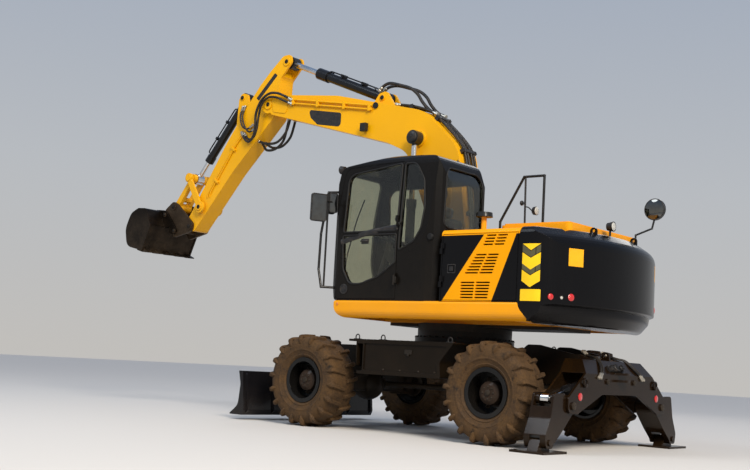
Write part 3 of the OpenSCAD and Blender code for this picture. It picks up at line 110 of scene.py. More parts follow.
def make_stage():
    world = bpy.data.worlds.new("sky")
    bpy.context.scene.world = world
    world.use_nodes = True
    nt = world.node_tree
    back = nt.nodes["Background"]
    ramp = nt.nodes.new("ShaderNodeValToRGB")
    coord = nt.nodes.new("ShaderNodeTexCoord")
    split = nt.nodes.new("ShaderNodeSeparateXYZ")
    nt.links.new(coord.outputs["Generated"], split.inputs[0])
    nt.links.new(split.outputs["Z"], ramp.inputs[0])
    nt.links.new(ramp.outputs[0], back.inputs["Color"])
    stops = ramp.color_ramp.elements
    stops[0].position, stops[0].color = 0, (.74, .72, .69, 1)
    stops[1].position, stops[1].color = .6, (.3, .42, .64, 1)
    stops.new(.16).color = (.66, .69, .73, 1)
    back.inputs["Strength"].default_value = .72

    mesh = bpy.data.meshes.new("floor")
    mesh.from_pydata([(-60, -60, 0), (60, -60, 0), (60, 60, 0), (-60, 60, 0)], [], [(0, 1, 2, 3)])
    floor = bpy.data.objects.new("floor", mesh)
    bpy.context.scene.collection.objects.link(floor)
    Tree("floor").set(Base_Color=(.6, .57, .53, 1), Roughness=.9)
    mesh.materials.append(MAT["floor"])

    for name, place, target, size, power, colour in (
            ("key", (-14, 9, 11), (-1, 0, 1.5), 5, 2300, (1, .91, .78)),
            ("fill", (3, 10, 14), (-1, 0, 1.5), 7, 800, (.86, .93, 1)),
            ("rim", (2, -12, 9), (-1, 0, 2), 6, 180, (1, .96, .9))):
        disc = make_light(name, "AREA", place, target, power, colour)
        disc.shape = "DISK"
        disc.size = size
    sun = make_light("sun", "SUN", (-14, 9, 15), (0, 0, 0), 1.6, (1, .93, .84))
    sun.angle = math.radians(30)


# Materials. Colours are linear, heights are metres above the ground.
MAT = {}
DUST = (.32, .21, .115)
AMBER = (.82, .325, .0005)
ARM_AMBER = (.83, .4, .0005)
BLACK = (.0042, .0042, .005)
MUD = (.022, .011, .005)
EDGE = 1 / 600  # width of the step at a leaning edge, in metres
SOFT = .002  # width of the step at a mask's edge, in metres


def dim(colour, k):
    return tuple(c * k for c in colour)


class Tree:
    """Small wrapper that builds one material's nodes. The finished material stands in MAT."""

    def __init__(self, name):
        self.mat = MAT[name] = bpy.data.materials.new(name)
        self.mat.use_nodes = True
        self.bsdf = self.mat.node_tree.nodes["Principled BSDF"]
        self.place = self.add("TexCoord").outputs["Object"]
        self.x, self.y, self.z = self.split(self.place)

    def add(self, kind):
        return self.mat.node_tree.nodes.new("ShaderNode" + kind)

    def put(self, socket, value):
        if isinstance(value, bpy.types.NodeSocket):
            self.mat.node_tree.links.new(value, socket)
        else:
            socket.default_value = value

    def set(self, **values):
        for key, value in values.items():
            self.put(self.bsdf.inputs[key.replace("_", " ")], value)

    def split(self, vector):
        n = self.add("SeparateXYZ")
        self.put(n.inputs[0], vector)
        return n.outputs

    def math(self, op, a, b=0, clamp=False):
        n = self.add("Math")
        n.operation, n.use_clamp = op, clamp
        self.put(n.inputs[0], a)
        self.put(n.inputs[1], b)
        return n.outputs[0]

    def plus(self, a, b):
        return self.math("ADD", a, b)

    def minus(self, a, b):
        return self.math("SUBTRACT", a, b)

    def times(self, a, b):
        return self.math("MULTIPLY", a, b)

    def either(self, a, b):
        return self.math("MAXIMUM", a, b)

    def texture(self, kind, **settings):
        """Texture over the object's own coordinates."""
        n = self.add("Tex" + kind)
        self.put(n.inputs["Vector"], self.place)
        for key, value in settings.items():
            n.inputs[key].default_value = value
        return n

    def noise(self, scale, detail=5, rough=.6, stretch=None):
        n = self.texture("Noise", Scale=scale, Detail=detail, Roughness=rough)
        if stretch:
            m = self.add("Mapping")
            m.inputs["Scale"].default_value = stretch
            self.put(m.inputs[0], self.place)
            self.put(n.inputs["Vector"], m.outputs[0])
        return n.outputs["Fac"]

    def ramp(self, value, low, high, out_low=0, out_high=1):
        n = self.add("MapRange")
        n.clamp = True
        self.put(n.inputs["Value"], value)
        for key, number in (("From Min", low), ("From Max", high), ("To Min", out_low), ("To Max", out_high)):
            n.inputs[key].default_value = number
        return n.outputs[0]

    def above(self, value, edge):
        return self.ramp(value, edge, edge + SOFT)

    def below(self, value, edge):
        return self.ramp(value, edge, edge + SOFT, 1, 0)

    def mix(self, factor, a, b):
        n = self.add("Mix")
        n.data_type = "RGBA"
        self.put(n.inputs[0], factor)
        for socket, value in ((n.inputs[6], a), (n.inputs[7], b)):
            self.put(socket, (*value, 1) if isinstance(value, tuple) else value)
        return n.outputs[2]

    def distance(self, a, a0, b, b0):
        """How far the point (a, b) lies from (a0, b0)."""
        da, db = self.minus(a, a0), self.minus(b, b0)
        return self.math("SQRT", self.plus(self.times(da, da), self.times(db, db)))

    def round_at(self, x, z, r):
        """1 within r of the cross axis through (x from the slew axis, z)."""
        return self.below(self.distance(self.x, x + SLEW, self.z, z), r - SOFT / 2)

    def side_of(self, p, q):
        """1 to the left of the line from p to q, seen from the machine's left with X to the left
        and Z up, 0 to the right. The points are (x from the slew axis, z)."""
        dx, dz = q[0] - p[0], q[1] - p[1]
        steep = 1 / EDGE / math.hypot(dx, dz)
        a = self.times(self.minus(self.x, p[0] + SLEW), dz * steep)
        b = self.times(self.minus(self.z, p[1]), -dx * steep)
        return self.math("ADD", self.plus(a, b), .5, True)

    def bump(self, height, strength, distance, edge=0):
        n = self.add("Bump")
        n.inputs["Strength"].default_value = strength
        n.inputs["Distance"].default_value = distance
        self.put(n.inputs["Height"], height)
        if edge:
            bevel = self.add("Bevel")
            bevel.samples = 4
            bevel.inputs["Radius"].default_value = edge
            self.put(n.inputs["Normal"], bevel.outputs[0])
        self.put(self.bsdf.inputs["Normal"], n.outputs[0])


def dust_mask(t, low, high, amount, flat):
    """More dust below low than above high, broken up by noise, and some on faces that look up."""
    height = t.ramp(t.z, low, high, 1, 0)
    patches = t.ramp(t.noise(2.6, 8, .7), .42, .66)
    specks = t.ramp(t.noise(38, 4, .7), .45, .75)
    mask = t.times(t.times(height, t.plus(patches, .35)), amount)
    mask = t.plus(mask, t.times(t.times(specks, height), amount * .4))
    up = t.split(t.add("NewGeometry").outputs["Normal"])["Z"]
    up = t.times(t.ramp(up, .5, 1, 0, flat), t.ramp(patches, 0, 1, .4, 1))
    return t.math("MAXIMUM", mask, up, True)


def paint(name, colour, rough, coat, low, high, amount, flat, shine=.22, second=None, where=None,
          second_rough=.2):
    """Painted steel with dust. where(tree) gives the mask of the second colour."""
    t = Tree(name)
    shade = t.ramp(t.noise(.9, 3, .5), .3, .7)
    base = t.mix(shade, dim(colour, .88), colour)
    smooth = t.ramp(t.noise(160, 3, .6), .3, .7, rough - .04, rough + .05)
    if second:
        mask = where(t)
        base = t.mix(mask, base, t.mix(shade, dim(second, .88), second))
        smooth = t.plus(smooth, t.times(mask, second_rough - rough))
    streaks = t.ramp(t.noise(9, 4, .6, (1, 1, .12)), .55, .8, 0, amount * .35)
    mask = t.either(dust_mask(t, low, high, amount, flat), streaks)
    t.set(Base_Color=t.mix(mask, base, DUST), Roughness=t.plus(smooth, t.ramp(mask, 0, 1, 0, .5)))
    t.set(Coat_Weight=coat, Coat_Roughness=.08, Specular_IOR_Level=shine)
    t.bump(t.plus(t.noise(14, 2, .5), t.times(mask, t.noise(120, 4, .7))), .1, .004, .006)


def metal(name, colour, rough, dusty, low=0, high=3, scale=30, edge=.004):
    t = Tree(name)
    mask = dust_mask(t, low, high, dusty, .2)
    base = t.mix(t.ramp(t.noise(scale), .35, .65), dim(colour, .75), colour)
    t.set(Base_Color=t.mix(mask, base, DUST), Metallic=t.ramp(mask, 0, .8, 1, 0))
    t.set(Roughness=t.plus(t.ramp(mask, 0, 1, rough, .85), t.ramp(t.noise(90, 3), .3, .7, -.05, .06)))
    t.bump(t.noise(scale * 3, 4), .08, .003, edge)


def chrome():
    """Plated rods, with the eyes at their ends painted black."""
    t = Tree("chrome")
    rings = t.noise(60, 2, .5)
    eyes = t.either(t.round_at(*BOOM_EYE, .106), t.round_at(*BUCKET_EYE, .08))
    eyes = t.either(eyes, t.round_at(*DIPPER_EYE, .09))
    bright = t.mix(t.ramp(t.noise(3, 4), .3, .7), (.62, .62, .61), (.8, .8, .8))
    t.set(Base_Color=t.mix(eyes, bright, (.012, .012, .013)), Metallic=t.ramp(eyes, 0, 1, 1, 0))
    t.set(Roughness=t.plus(t.ramp(rings, .3, .7, .1, .22), t.times(eyes, .2)))
    t.bump(rings, .02, .002)


def mirror():
    t = Tree("mirror")
    haze = t.ramp(t.noise(18, 5, .7), .4, .8)
    t.set(Base_Color=t.mix(haze, (.16, .16, .15), (.12, .11, .1)), Metallic=1)
    t.set(Roughness=t.ramp(haze, 0, 1, .02, .16))


def seal_rubber():
    t = Tree("rubber_plain")
    patches = t.ramp(t.noise(7, 7, .7), .5, .8)
    base = t.mix(patches, (.006, .006, .006), (.016, .014, .012))
    base = t.mix(t.ramp(t.noise(60, 4, .7), .5, .8), base, (.0216, .0189, .0162))
    t.set(Base_Color=base, Roughness=t.ramp(patches, 0, 1, .5, .95), Specular_IOR_Level=.25)
    t.bump(t.plus(t.noise(45, 5, .7), t.times(t.noise(8, 4), 2)), .105, .006, .003)


def tyre_rubber():
    """Dark side walls with dried mud in the tread and thrown up between the lugs."""
    t = Tree("tyre")
    patches = t.ramp(t.noise(6, 8, .72), .33, .62)
    grain = t.ramp(t.noise(55, 5, .75), .42, .78)
    base = t.mix(patches, (.024, .013, .006), (.072, .038, .014))
    base = t.mix(t.times(grain, .7), base, (.125, .068, .026))
    base = t.mix(t.ramp(t.noise(13, 6, .7), .58, .7), base, (.014, .009, .005))
    t.set(Base_Color=base, Roughness=t.ramp(patches, 0, 1, .66, .95), Specular_IOR_Level=.25)
    t.bump(t.plus(t.noise(70, 6, .75), t.times(t.noise(9, 5), 2.2)), .5, .007, .004)


def plastic(name, colour, rough, grain=220, coat=0, dust=.1):
    t = Tree(name)
    shade = t.ramp(t.noise(5, 4), .3, .7)
    film = t.ramp(t.noise(20, 6, .7), .45, .8, 0, dust)
    t.set(Base_Color=t.mix(film, t.mix(shade, dim(colour, .82), colour), DUST))
    t.set(Roughness=t.plus(t.ramp(shade, 0, 1, rough - .05, rough + .05), film))
    t.set(Coat_Weight=coat, Coat_Roughness=.1, Specular_IOR_Level=.3)
    t.bump(t.noise(grain, 3), .12, .001)


def window_glass():
    t = Tree("window_glass")
    smear = t.ramp(t.noise(3, 5, .7), .45, .8)
    t.set(Base_Color=t.mix(smear, (.62, .62, .5), (.5766, .5766, .465)))
    t.set(Transmission_Weight=1, IOR=1.45, Roughness=t.ramp(smear, 0, 1, 0, .05))


def lens(name, colour, clear):
    t = Tree(name)
    wave = t.texture("Wave", Scale=55)
    wave.bands_direction = "Z"
    t.set(Base_Color=t.mix(t.ramp(t.noise(14, 4), .3, .7), dim(colour, .8), colour))
    t.set(Transmission_Weight=clear, IOR=1.49, Coat_Weight=1, Coat_Roughness=.03)
    t.set(Roughness=t.ramp(t.noise(30, 3), .3, .7, .08, .16))
    t.bump(wave.outputs["Fac"], .4, .002)


def fabric(name, colour):
    t = Tree(name)
    weave = t.texture("Wave", Scale=160, Distortion=1.5).outputs["Fac"]
    tone = t.ramp(t.noise(20), .3, .7)
    base = t.mix(t.times(weave, .5), t.mix(tone, dim(colour, .7), colour), dim(colour, 1.7))
    t.set(Base_Color=base, Roughness=t.ramp(tone, 0, 1, .88, .98), Sheen_Weight=.3)
    t.bump(weave, .3, .002)


def hose_rubber():
    t = Tree("hose")
    film = t.ramp(t.noise(12, 6, .7), .42, .72, 0, .1)
    t.set(Base_Color=t.mix(film, (.01, .01, .01), DUST), Roughness=t.ramp(film, 0, .1, .4, .6))
    t.set(Specular_IOR_Level=.3)
    t.bump(t.texture("Voronoi", Scale=260).outputs["Distance"], .15, .001)


def door_mask(t):
    """The yellow wedge of the side doors, between two leaning edges."""
    front = t.side_of((-1.05, 2.19), (-.54, 1.49))
    rear = t.side_of((-1.18, 1.49), (-1.48, 2.25))
    return t.either(t.times(front, rear), t.ramp(t.z, 2.1985, 2.2015))


def cowl_mask(t):
    """Black on the cowl's faces below the hood line ahead of the doors' wedge, yellow elsewhere."""
    inner = t.ramp(t.math("ABSOLUTE", t.y), 1.2, 1.203, 1, 0)
    wall = t.times(inner, t.ramp(t.x, SLEW - .5315, SLEW - .5285))
    return t.either(door_mask(t), t.times(inner, t.minus(1, wall)))


def hub_mask(t):
    """The hubs, inside the wheels' black dishes."""
    return t.either(t.round_at(FRONT_AXLE, AXLE_Z, .143), t.round_at(REAR_AXLE, AXLE_Z, .143))


def boom_mask(t):
    """The work lamp's box and the round plug on the boom's sides."""
    box = t.times(t.above(t.x, SLEW + 1.515), t.below(t.x, SLEW + 1.613))
    box = t.times(box, t.times(t.above(t.z, 3.74), t.below(t.z, 3.853)))
    box = t.times(box, t.above(t.y, .192))
    far = t.ramp(t.math("ABSOLUTE", t.y), .1905, .1915)
    return t.either(box, t.times(far, t.round_at(1.43, 4.08, .044)))


def deck_underside_painted_shade(t):
    """The deck's underside, painted near black as painted shade for the shadow under the deck."""
    return t.ramp(t.z, 1.284, 1.288, 1, 0)


def rail_mask(t):
    """The foot of the pre-cleaner's pipe, in the hood's colour."""
    near = t.ramp(t.distance(t.x, SLEW - .84, t.y, .93), .05, .053, 1, 0)
    return t.times(near, t.below(t.z, 2.433))


# Columns: roughness, coat, height of full dust, height without dust, its amount, dust on flat faces, shine
for name, colour, *numbers in (
        ("amber", AMBER, .32, .05, .5, 2.6, .08, .12),
        ("hood", AMBER, .32, .05, .5, 2.3, .05, .36),
        ("arm_amber", ARM_AMBER, .32, .05, 1.9, 4.3, .14, .1),
        ("black_gloss", BLACK, .2, .08, 1.2, 1.6, .01, .02, .1),
        ("cab_black", (.006, .0052, .0045), .24, .06, 1.4, 2.3, .012, .02, .12),
        ("chassis", (.0068, .0044, .0024), .34, 0, .3, 1.5, .02, .04, .12),
        ("stab", (.01, .0048, .0018), .2, .1, 0, 1, .03, .01, .14),
        ("blade", (.0055, .0055, .007), .2, .12, 0, .8, .02, .02, .2),
        ("iron", (.012, .0095, .007), .48, 0, .3, 1.2, .08, .1, .2),
        ("barrel", (.006, .006, .007), .24, .12, .3, 4, .01, .02, .25)):
    paint(name, colour, *numbers)
# The deck's second colour is painted shade: its underside goes near black, standing in for the shadow under
# it.
paint("deck", AMBER, .32, .05, .5, 2.6, .1, .12, .22, (.01, .009, .008), deck_underside_painted_shade, .6)
paint("cowl", BLACK, .22, .06, 1.2, 1.9, .01, .02, .1, AMBER, cowl_mask, .32)
paint("side_door", BLACK, .22, .06, 1.2, 1.9, .01, .02, .1, AMBER, door_mask, .32)
paint("boom_amber", ARM_AMBER, .32, .05, 1.9, 4.3, .08, .1, .22, (.012, .012, .013), boom_mask, .4)
paint("rim", (.0045, .0045, .0045), .2, .12, .2, .9, .012, .01, .25, MUD, hub_mask, .8)
paint("rail", (.01, .01, .01), .4, .3, 1, 2, .12, .1, .22, AMBER, rail_mask, .3)
metal("bucket_steel", (.013, .01, .008), .42, .22, 1.9)
metal("hitch_steel", (.055, .038, .025), .5, .35, 2, 3.4)
metal("engine_iron", (.2, .19, .18), .6, .3)
metal("fitting", (.5, .47, .4), .36, .25, .5, 4.5, 60, 0)
plastic("black_plain", (.016, .016, .017), .42)
plastic("grey_plastic", (.045, .045, .048), .55, 300)
plastic("sign_yellow", (.9, .56, .004), .35, 120, .3, .04)
plastic("sign_amber", (.88, .4, .004), .35, 120, .3, .06)
plastic("sign_black", (.012, .012, .013), .28, 120, .4, .08)
plastic("sign_olive", (.075, .07, .03), .3, 120, .4, .06)
lens("red_lens", (.62, .012, .01), .15)
lens("orange_lens", (.85, .25, .01), .2)
lens("clear_lens", (.86, .84, .76), .35)
fabric("chair_cloth", (.03, .03, .034))
fabric("belt", (.05, .05, .055))
for make in (chrome, mirror, seal_rubber, tyre_rubber, window_glass, hose_rubber):
    make()

LOOK = {}
for look, names in (
        ("chassis", "chassis lockers"), ("deck", "deck"), ("black_gloss", "counterweight"), ("cowl", "cowl"),
        ("iron", "slew_ring driveline rear_axle front_axle knuckle_l knuckle_r"), ("chrome", "steer_rod"),
        ("amber", "boom_tower tank_box"), ("hood", "hood"), ("side_door", "service_door_l service_door_r"),
        ("engine_iron", "engine"), ("rail", "rails"), ("cab_black", "cab_shell cab_door"),
        ("window_glass", "cab_glass door_glass"), ("grey_plastic", "operator_chair cab_controls"),
        ("black_plain", "lamps"), ("boom_amber", "boom"), ("arm_amber", "dipper rocker link"),
        ("hitch_steel", "hitch"), ("bucket_steel", "bucket")):
    for n in names.split():
        LOOK[n] = look
for word, look in (("stab_", "stab"), ("blade", "blade"), ("rim_", "rim"), ("tyre_", "tyre"),
                   ("_rod", "chrome"), ("_tube", "barrel")):
    for n in NODES:
        if word in n and (word.startswith("_") or n not in LOOK):
            LOOK[n] = look
for n, o in NODES.items():
    o.data.materials.clear()
    o.data.materials.append(MAT[LOOK[n]])


# Shapes
X, Y, Z = vec(1, 0, 0), vec(0, 1, 0), vec(0, 0, 1)
OUTSIDE, OVERHEAD = 3.2, 5.2  # rays start this far from the slew axis, or this high
DECAL_LIFT, DECAL_SUNK = .0012, .0008


def spot(x, y, z):
    """A point given from the slew centre at ground level, in the frame's metres."""
    return vec(x + SLEW, y, z)


def turns(count, shift=0):
    """Equal steps around a full turn, in radians."""
    return [2 * math.pi * (k + shift) / count for k in range(count)]


def ring(centre, u, v, count):
    """Points around an oval with the half axes u and v."""
    return [centre + u * math.cos(a) + v * math.sin(a) for a in turns(count)]


def add_piece(name, bm, body, look, smooth=35):
    bmesh.ops.recalc_face_normals(bm, faces=bm.faces)
    mesh = bpy.data.meshes.new(name)
    bm.to_mesh(mesh)
    bm.free()
    for p in mesh.polygons:
        p.use_smooth = True
    mesh.set_sharp_from_angle(angle=math.radians(smooth))
    mesh.materials.append(MAT[look])
    obj = bpy.data.objects.new(name, mesh)
    bpy.context.scene.collection.objects.link(obj)
    if body:
        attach(obj, body)
    return obj


@contextmanager
def piece(name, body, look, smooth=35):
    """The block under it fills the mesh, which is then added to the scene."""
    bm = bmesh.new()
    yield bm
    add_piece(name, bm, body, look, smooth)


def bridge(bm, a, b):
    """Faces between two rings of points. One of them may be a single point."""
    count = max(len(a), len(b))
    for k in range(count):
        corners = [a[k % len(a)], a[(k + 1) % len(a)], b[(k + 1) % len(b)], b[k % len(b)]]
        bm.faces.new(list(dict.fromkeys(corners)))


def stack(bm, rows, caps=True):
    """Skin over rows of points, with a face on the first and the last."""
    rings = [[bm.verts.new(p) for p in row] for row in rows]
    for a, b in zip(rings, rings[1:]):
        bridge(bm, a, b)
    if caps:
        for end in (rings[0], rings[-1]):
            if len(end) > 2:
                bm.faces.new(end)
    return rings


def across(axis):
    """An axis at unit length, and two directions square to it."""
    axis = Vector(axis).normalized()
    u = axis.cross(Z if abs(axis.z) < .9 else X).normalized()
    return axis, u, axis.cross(u)


def lathe(bm, profile, centre, axis, sides=24):
    """Turned form from rows (radius, height along the axis)."""
    axis, u, v = across(axis)
    stack(bm, [ring(centre + axis * h, u * r, v * r, sides if r > 1e-6 else 1) for r, h in profile])


def bolt(bm, centre, axis, r, h):
    """Hexagon head on a washer, sunk a little into the face under it."""
    lathe(bm, [(r * 1.5, -.002), (r * 1.5, h * .22), (r * 1.35, h * .3)], centre, axis, 18)
    lathe(bm, [(r * 1.08, h * .25), (r * 1.08, h * .85), (r * .88, h)], centre, axis, 6)


def curve_through(points, n=7):
    """Smooth path through all points, with n steps between each two."""
    pts = [Vector(p) for p in points]
    out = []
    for i in range(len(pts) - 1):
        a, b, c, d = pts[max(i - 1, 0)], pts[i], pts[i + 1], pts[min(i + 2, len(pts) - 1)]
        for k in range(n):
            t = k / n
            bend = (2 * a - 5 * b + 4 * c - d) * t * t + (3 * b - a - 3 * c + d) * t ** 3
            out.append(.5 * (2 * b + (c - a) * t + bend))
    return out + [pts[-1]]


def sweep(bm, path, radius, sides=10, closed=False, flat=1, hint=None):
    """Tube along a path. flat below 1 squeezes it square to hint, or to its first side."""
    count = len(path)
    if closed:
        ahead = [(path[(i + 1) % count] - path[i - 1]).normalized() for i in range(count)]
    else:
        ahead = [(path[min(i + 1, count - 1)] - path[max(i - 1, 0)]).normalized() for i in range(count)]
    side = Vector(hint) if hint else across(ahead[0])[1]
    rows = []
    for p, d in zip(path, ahead):
        side = (side - d * side.dot(d)).normalized()
        rows.append(ring(p, side * radius, d.cross(side) * flat * radius, sides))
    rings = stack(bm, rows, not closed)
    if closed:
        first, last = rings[0], rings[-1]
        shift = min(range(sides), key=lambda s: (last[0].co - first[s].co).length)
        bridge(bm, last, first[shift:] + first[:shift])


def loop_sweep(bm, path, radius, sides=8):
    sweep(bm, path, radius, sides, True)


def prism(bm, loop, offset):
    stack(bm, [loop, [p + offset for p in loop]])


def strip(bm, middle, u, v, rows, offset):
    """Prism whose outline's points (a, b) count along u and v from a middle point."""
    prism(bm, [middle + u * a + v * b for a, b in rows], offset)


def slab(bm, low, high, ease):
    """Block with eased edges, between two opposite corners."""
    a = vec(*(min(p, q) for p, q in zip(low, high)))
    b = vec(*(max(p, q) for p, q in zip(low, high)))
    made = bmesh.ops.create_cube(bm, size=1)["verts"]
    for v in made:
        v.co = [a[i] + (v.co[i] + .5) * (b[i] - a[i]) for i in range(3)]
    edges = {e for v in made for e in v.link_edges}
    bmesh.ops.bevel(bm, geom=list(edges), offset=ease, segments=2, profile=.5, affect="EDGES")


def oblong(x0, x1, z0, z1):
    return [(x0, z0), (x1, z0), (x1, z1), (x0, z1)]


def rounded(rows, n=5, r=0):
    """Outline with rounded corners from rows (a, b, radius), or from rows (a, b) with one radius r."""
    out = []
    for i, row in enumerate(rows):
        a, c = rows[i - 1], rows[(i + 1) % len(rows)]
        p, size = Vector(row[:2]), row[2] if len(row) > 2 else r
        if size == 0:
            out.append(p)
            continue
        u, v = (Vector(a[:2]) - p).normalized(), (Vector(c[:2]) - p).normalized()
        half = math.acos(max(-1, min(1, u.dot(v)))) / 2
        middle = p + (u + v).normalized() * size / math.sin(half)
        start = p + u * size / math.tan(half) - middle
        finish = p + v * size / math.tan(half) - middle
        way = 1 if start.x * finish.y - start.y * finish.x > 0 else -1
        for k in range(n + 1):
            g = way * (math.pi - 2 * half) * k / n
            out.append(middle + vec(start.x * math.cos(g) - start.y * math.sin(g),
                                    start.x * math.sin(g) + start.y * math.cos(g)))
    return out


def resample(loop, step):
    """The same closed outline with points about step apart."""
    out = []
    for i, p in enumerate(loop):
        q = loop[(i + 1) % len(loop)]
        parts = max(1, round((q - p).length / step))
        out += [p + (q - p) * k / parts for k in range(parts)]
    return out


def outset(loop, d):
    out = []
    for i, p in enumerate(loop):
        t = (loop[(i + 1) % len(loop)] - loop[i - 1]).normalized()
        out.append(p + vec(t.y, -t.x) * d)
    return out


SKINS = {}


def skin_of(*names):
    """Search tree over the faces of some CAD nodes."""
    if names not in SKINS:
        verts, faces = [], []
        for name in names:
            mesh = NODES[name].data
            faces += [[len(verts) + i for i in p.vertices] for p in mesh.polygons]
            verts += [v.co.copy() for v in mesh.vertices]
        SKINS[names] = BVHTree.FromPolygons(verts, faces)
    return SKINS[names]


def landing(skin, start, direction):
    """Where a ray meets the skin, with the face's direction towards the ray's start."""
    hit, normal = skin.ray_cast(start, direction.normalized())[:2]
    if hit is None:
        raise ValueError(f"a ray from {tuple(start)} meets nothing")
    return hit, normal if normal.dot(direction) < 0 else -normal


def side_cast(s):
    """Rays square to the machine's side s, for points (x from the slew axis, z)."""
    return lambda p: (spot(p[0], s * OUTSIDE, p[1]), Y * -s)


def beside(skin, x, z, s=1):
    """The point of the skin that is seen at (x, z) from the machine's side s."""
    return landing(skin, *side_cast(s)((x, z)))[0]


def behind(skin, y, z):
    """Landing of a ray from behind the machine. The rays of the next two come from ahead and above."""
    return landing(skin, spot(-OUTSIDE, y, z), X)


def ahead_of(skin, y, z):
    return landing(skin, spot(OUTSIDE, y, z), -X)


def over(skin, x, y):
    return landing(skin, spot(x, y, OVERHEAD), -Z)


def decal(name, rows, skin, cast, body, look, lift=DECAL_LIFT, slice_step=0):
    """Thin plate that follows the surface under it. cast(point) gives each point's ray."""
    with piece(name, body, look) as bm:
        loop = rounded(rows)
        bm.faces.new([bm.verts.new((p.x, p.y, 0)) for p in loop])
        if slice_step:
            low, high = min(p.x for p in loop), max(p.x for p in loop)
            slices = int((high - low) / slice_step)
            for k in range(1, slices):
                bmesh.ops.bisect_plane(bm, geom=bm.verts[:] + bm.edges[:] + bm.faces[:],
                                       plane_co=(low + k * (high - low) / slices, 0, 0), plane_no=X)
        faces = list(bm.faces)
        outlines = [list(f.verts) for f in faces]
        border = [(c.vert, c.link_loop_next.vert) for f in faces for c in f.loops
                  if len(c.edge.link_faces) == 1]
        under = {}
        for v in list(bm.verts):
            hit, normal = landing(skin, *cast(v.co.xy))
            under[v] = bm.verts.new(hit - normal * DECAL_SUNK)
            v.co = hit + normal * lift
        for verts in outlines:
            bm.faces.new([under[v] for v in reversed(verts)])
        for a, b in border:
            bm.faces.new([b, a, under[a], under[b]])


# Tyres. Rows are (distance from the middle plane, radius).
CARCASS = [(0, .5155), (.06, .515), (.12, .513), (.16, .5065), (.186, .492), (.203, .468), (.2135, .44),
           (.2165, .412), (.215, .384), (.2105, .362), (.2125, .358), (.211, .352), (.2045, .346),
           (.196, .325), (.189, .306), (.1925, .301), (.1905, .294), (.18, .284), (.169, .272),
           (.156, .26), (.151, .2495)]
LUG_TOP = [(.01, .541), (.06, .541), (.11, .5408), (.15, .54), (.182, .537), (.205, .53),
           (.218, .515), (.2245, .496), (.2272, .474), (.2275, .452), (.2255, .434), (.218, .423)]
LUGS, TYRE_STEPS = 18, 120


def lug_row(j, y, r):
    """Cross section j of a lug, from its foot over its top to the other foot: (way round, y, radius)."""
    outward = min(1, (y - .01) / .195) ** 1.15
    lean = .006 + (.01 if j > 6 else 0)
    narrow = .004 * max(0, j - 7)
    near, far = -.01 + .04 * outward + narrow, .03 + .046 * outward - narrow
    foot = (y, r - .034) if j < 5 else (max(.1, y - .016 - .002 * j), max(.405, r - .02))
    edge = (y - .0035 * (j > 4), r - .006 * (j < 7))
    return [(near - lean, *foot), (near, *edge), (near + .005, y, r), (far - .005, y, r), (far, *edge),
            (far + lean, *foot)]


def make_tyres():
    section = CARCASS + [(-y, r) for y, r in reversed(CARCASS[1:])]
    for tag, x, s in WHEELS:
        bm = bmesh.new()
        rows = [[(r * math.sin(a), y, r * math.cos(a)) for y, r in section] for a in turns(TYRE_STEPS)]
        rings = stack(bm, rows, False)
        bridge(bm, rings[-1], rings[0])
        for side, shift in ((1, 0), (-1, .5)):
            for turn in turns(LUGS, shift):
                rows = []
                for j, (y, r) in enumerate(LUG_TOP):
                    row = [(turn + u / AXLE_Z, side * py, pr) for u, py, pr in lug_row(j, y, r)]
                    rows.append([(pr * math.sin(a), py, pr * math.cos(a)) for a, py, pr in row])
                stack(bm, rows)
        for v in bm.verts:
            v.co = spot(x + v.co.x, s * (TYRE_Y + v.co.y), AXLE_Z + v.co.z)
        tyre = add_piece(f"tyre_{tag}_rubber", bm, "wheel_" + tag, "tyre", 40)
        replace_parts(tyre, "tyre_" + tag)


# Hoses and pipes
def ferrule(bm, tip, ahead, radius):
    rows = ((1.05, -.022), (1.5, -.018), (1.5, .01), (1.28, .014), (1.28, .055), (1.03, .06))
    lathe(bm, [(radius * r, h) for r, h in rows], tip, ahead, 14)
    lathe(bm, [(radius * 1.75, -.016), (radius * 1.75, .004)], tip, ahead, 6)


def hose(name, points, radius, body):
    path = curve_through([spot(*p) for p in points])
    with piece(name, body, "hose", 60) as bm:
        sweep(bm, path, radius)
    with piece(name + "_ends", body, "fitting") as bm:
        ferrule(bm, path[0], path[3] - path[0], radius)
        ferrule(bm, path[-1], path[-4] - path[-1], radius)


def crossing_hose(name, points, radius, a, b, start, end):
    """Hose over a joint, left with no body; the ferrule at its first point goes with body a, the one at its
    last point with body b. start and end, two points (x, z), are not used.
    """
    path = curve_through([spot(*p) for p in points], 12)
    bm = bmesh.new()
    sweep(bm, path, radius)
    obj = add_piece(name, bm, None, "hose", 60)
    start, end = (tuple(spot(x, 0, z)) for x, z in (start, end))
    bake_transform(obj)
    for tag, tip, inner, body in (("_near", path[0], path[4], a), ("_far", path[-1], path[-5], b)):
        with piece(name + tag, body, "fitting") as bm:
            ferrule(bm, tip, inner - tip, radius)


def bare(p):
    """A point of the frame with its x counted from the slew axis again."""
    return vec(p.x - SLEW, p.y, p.z)


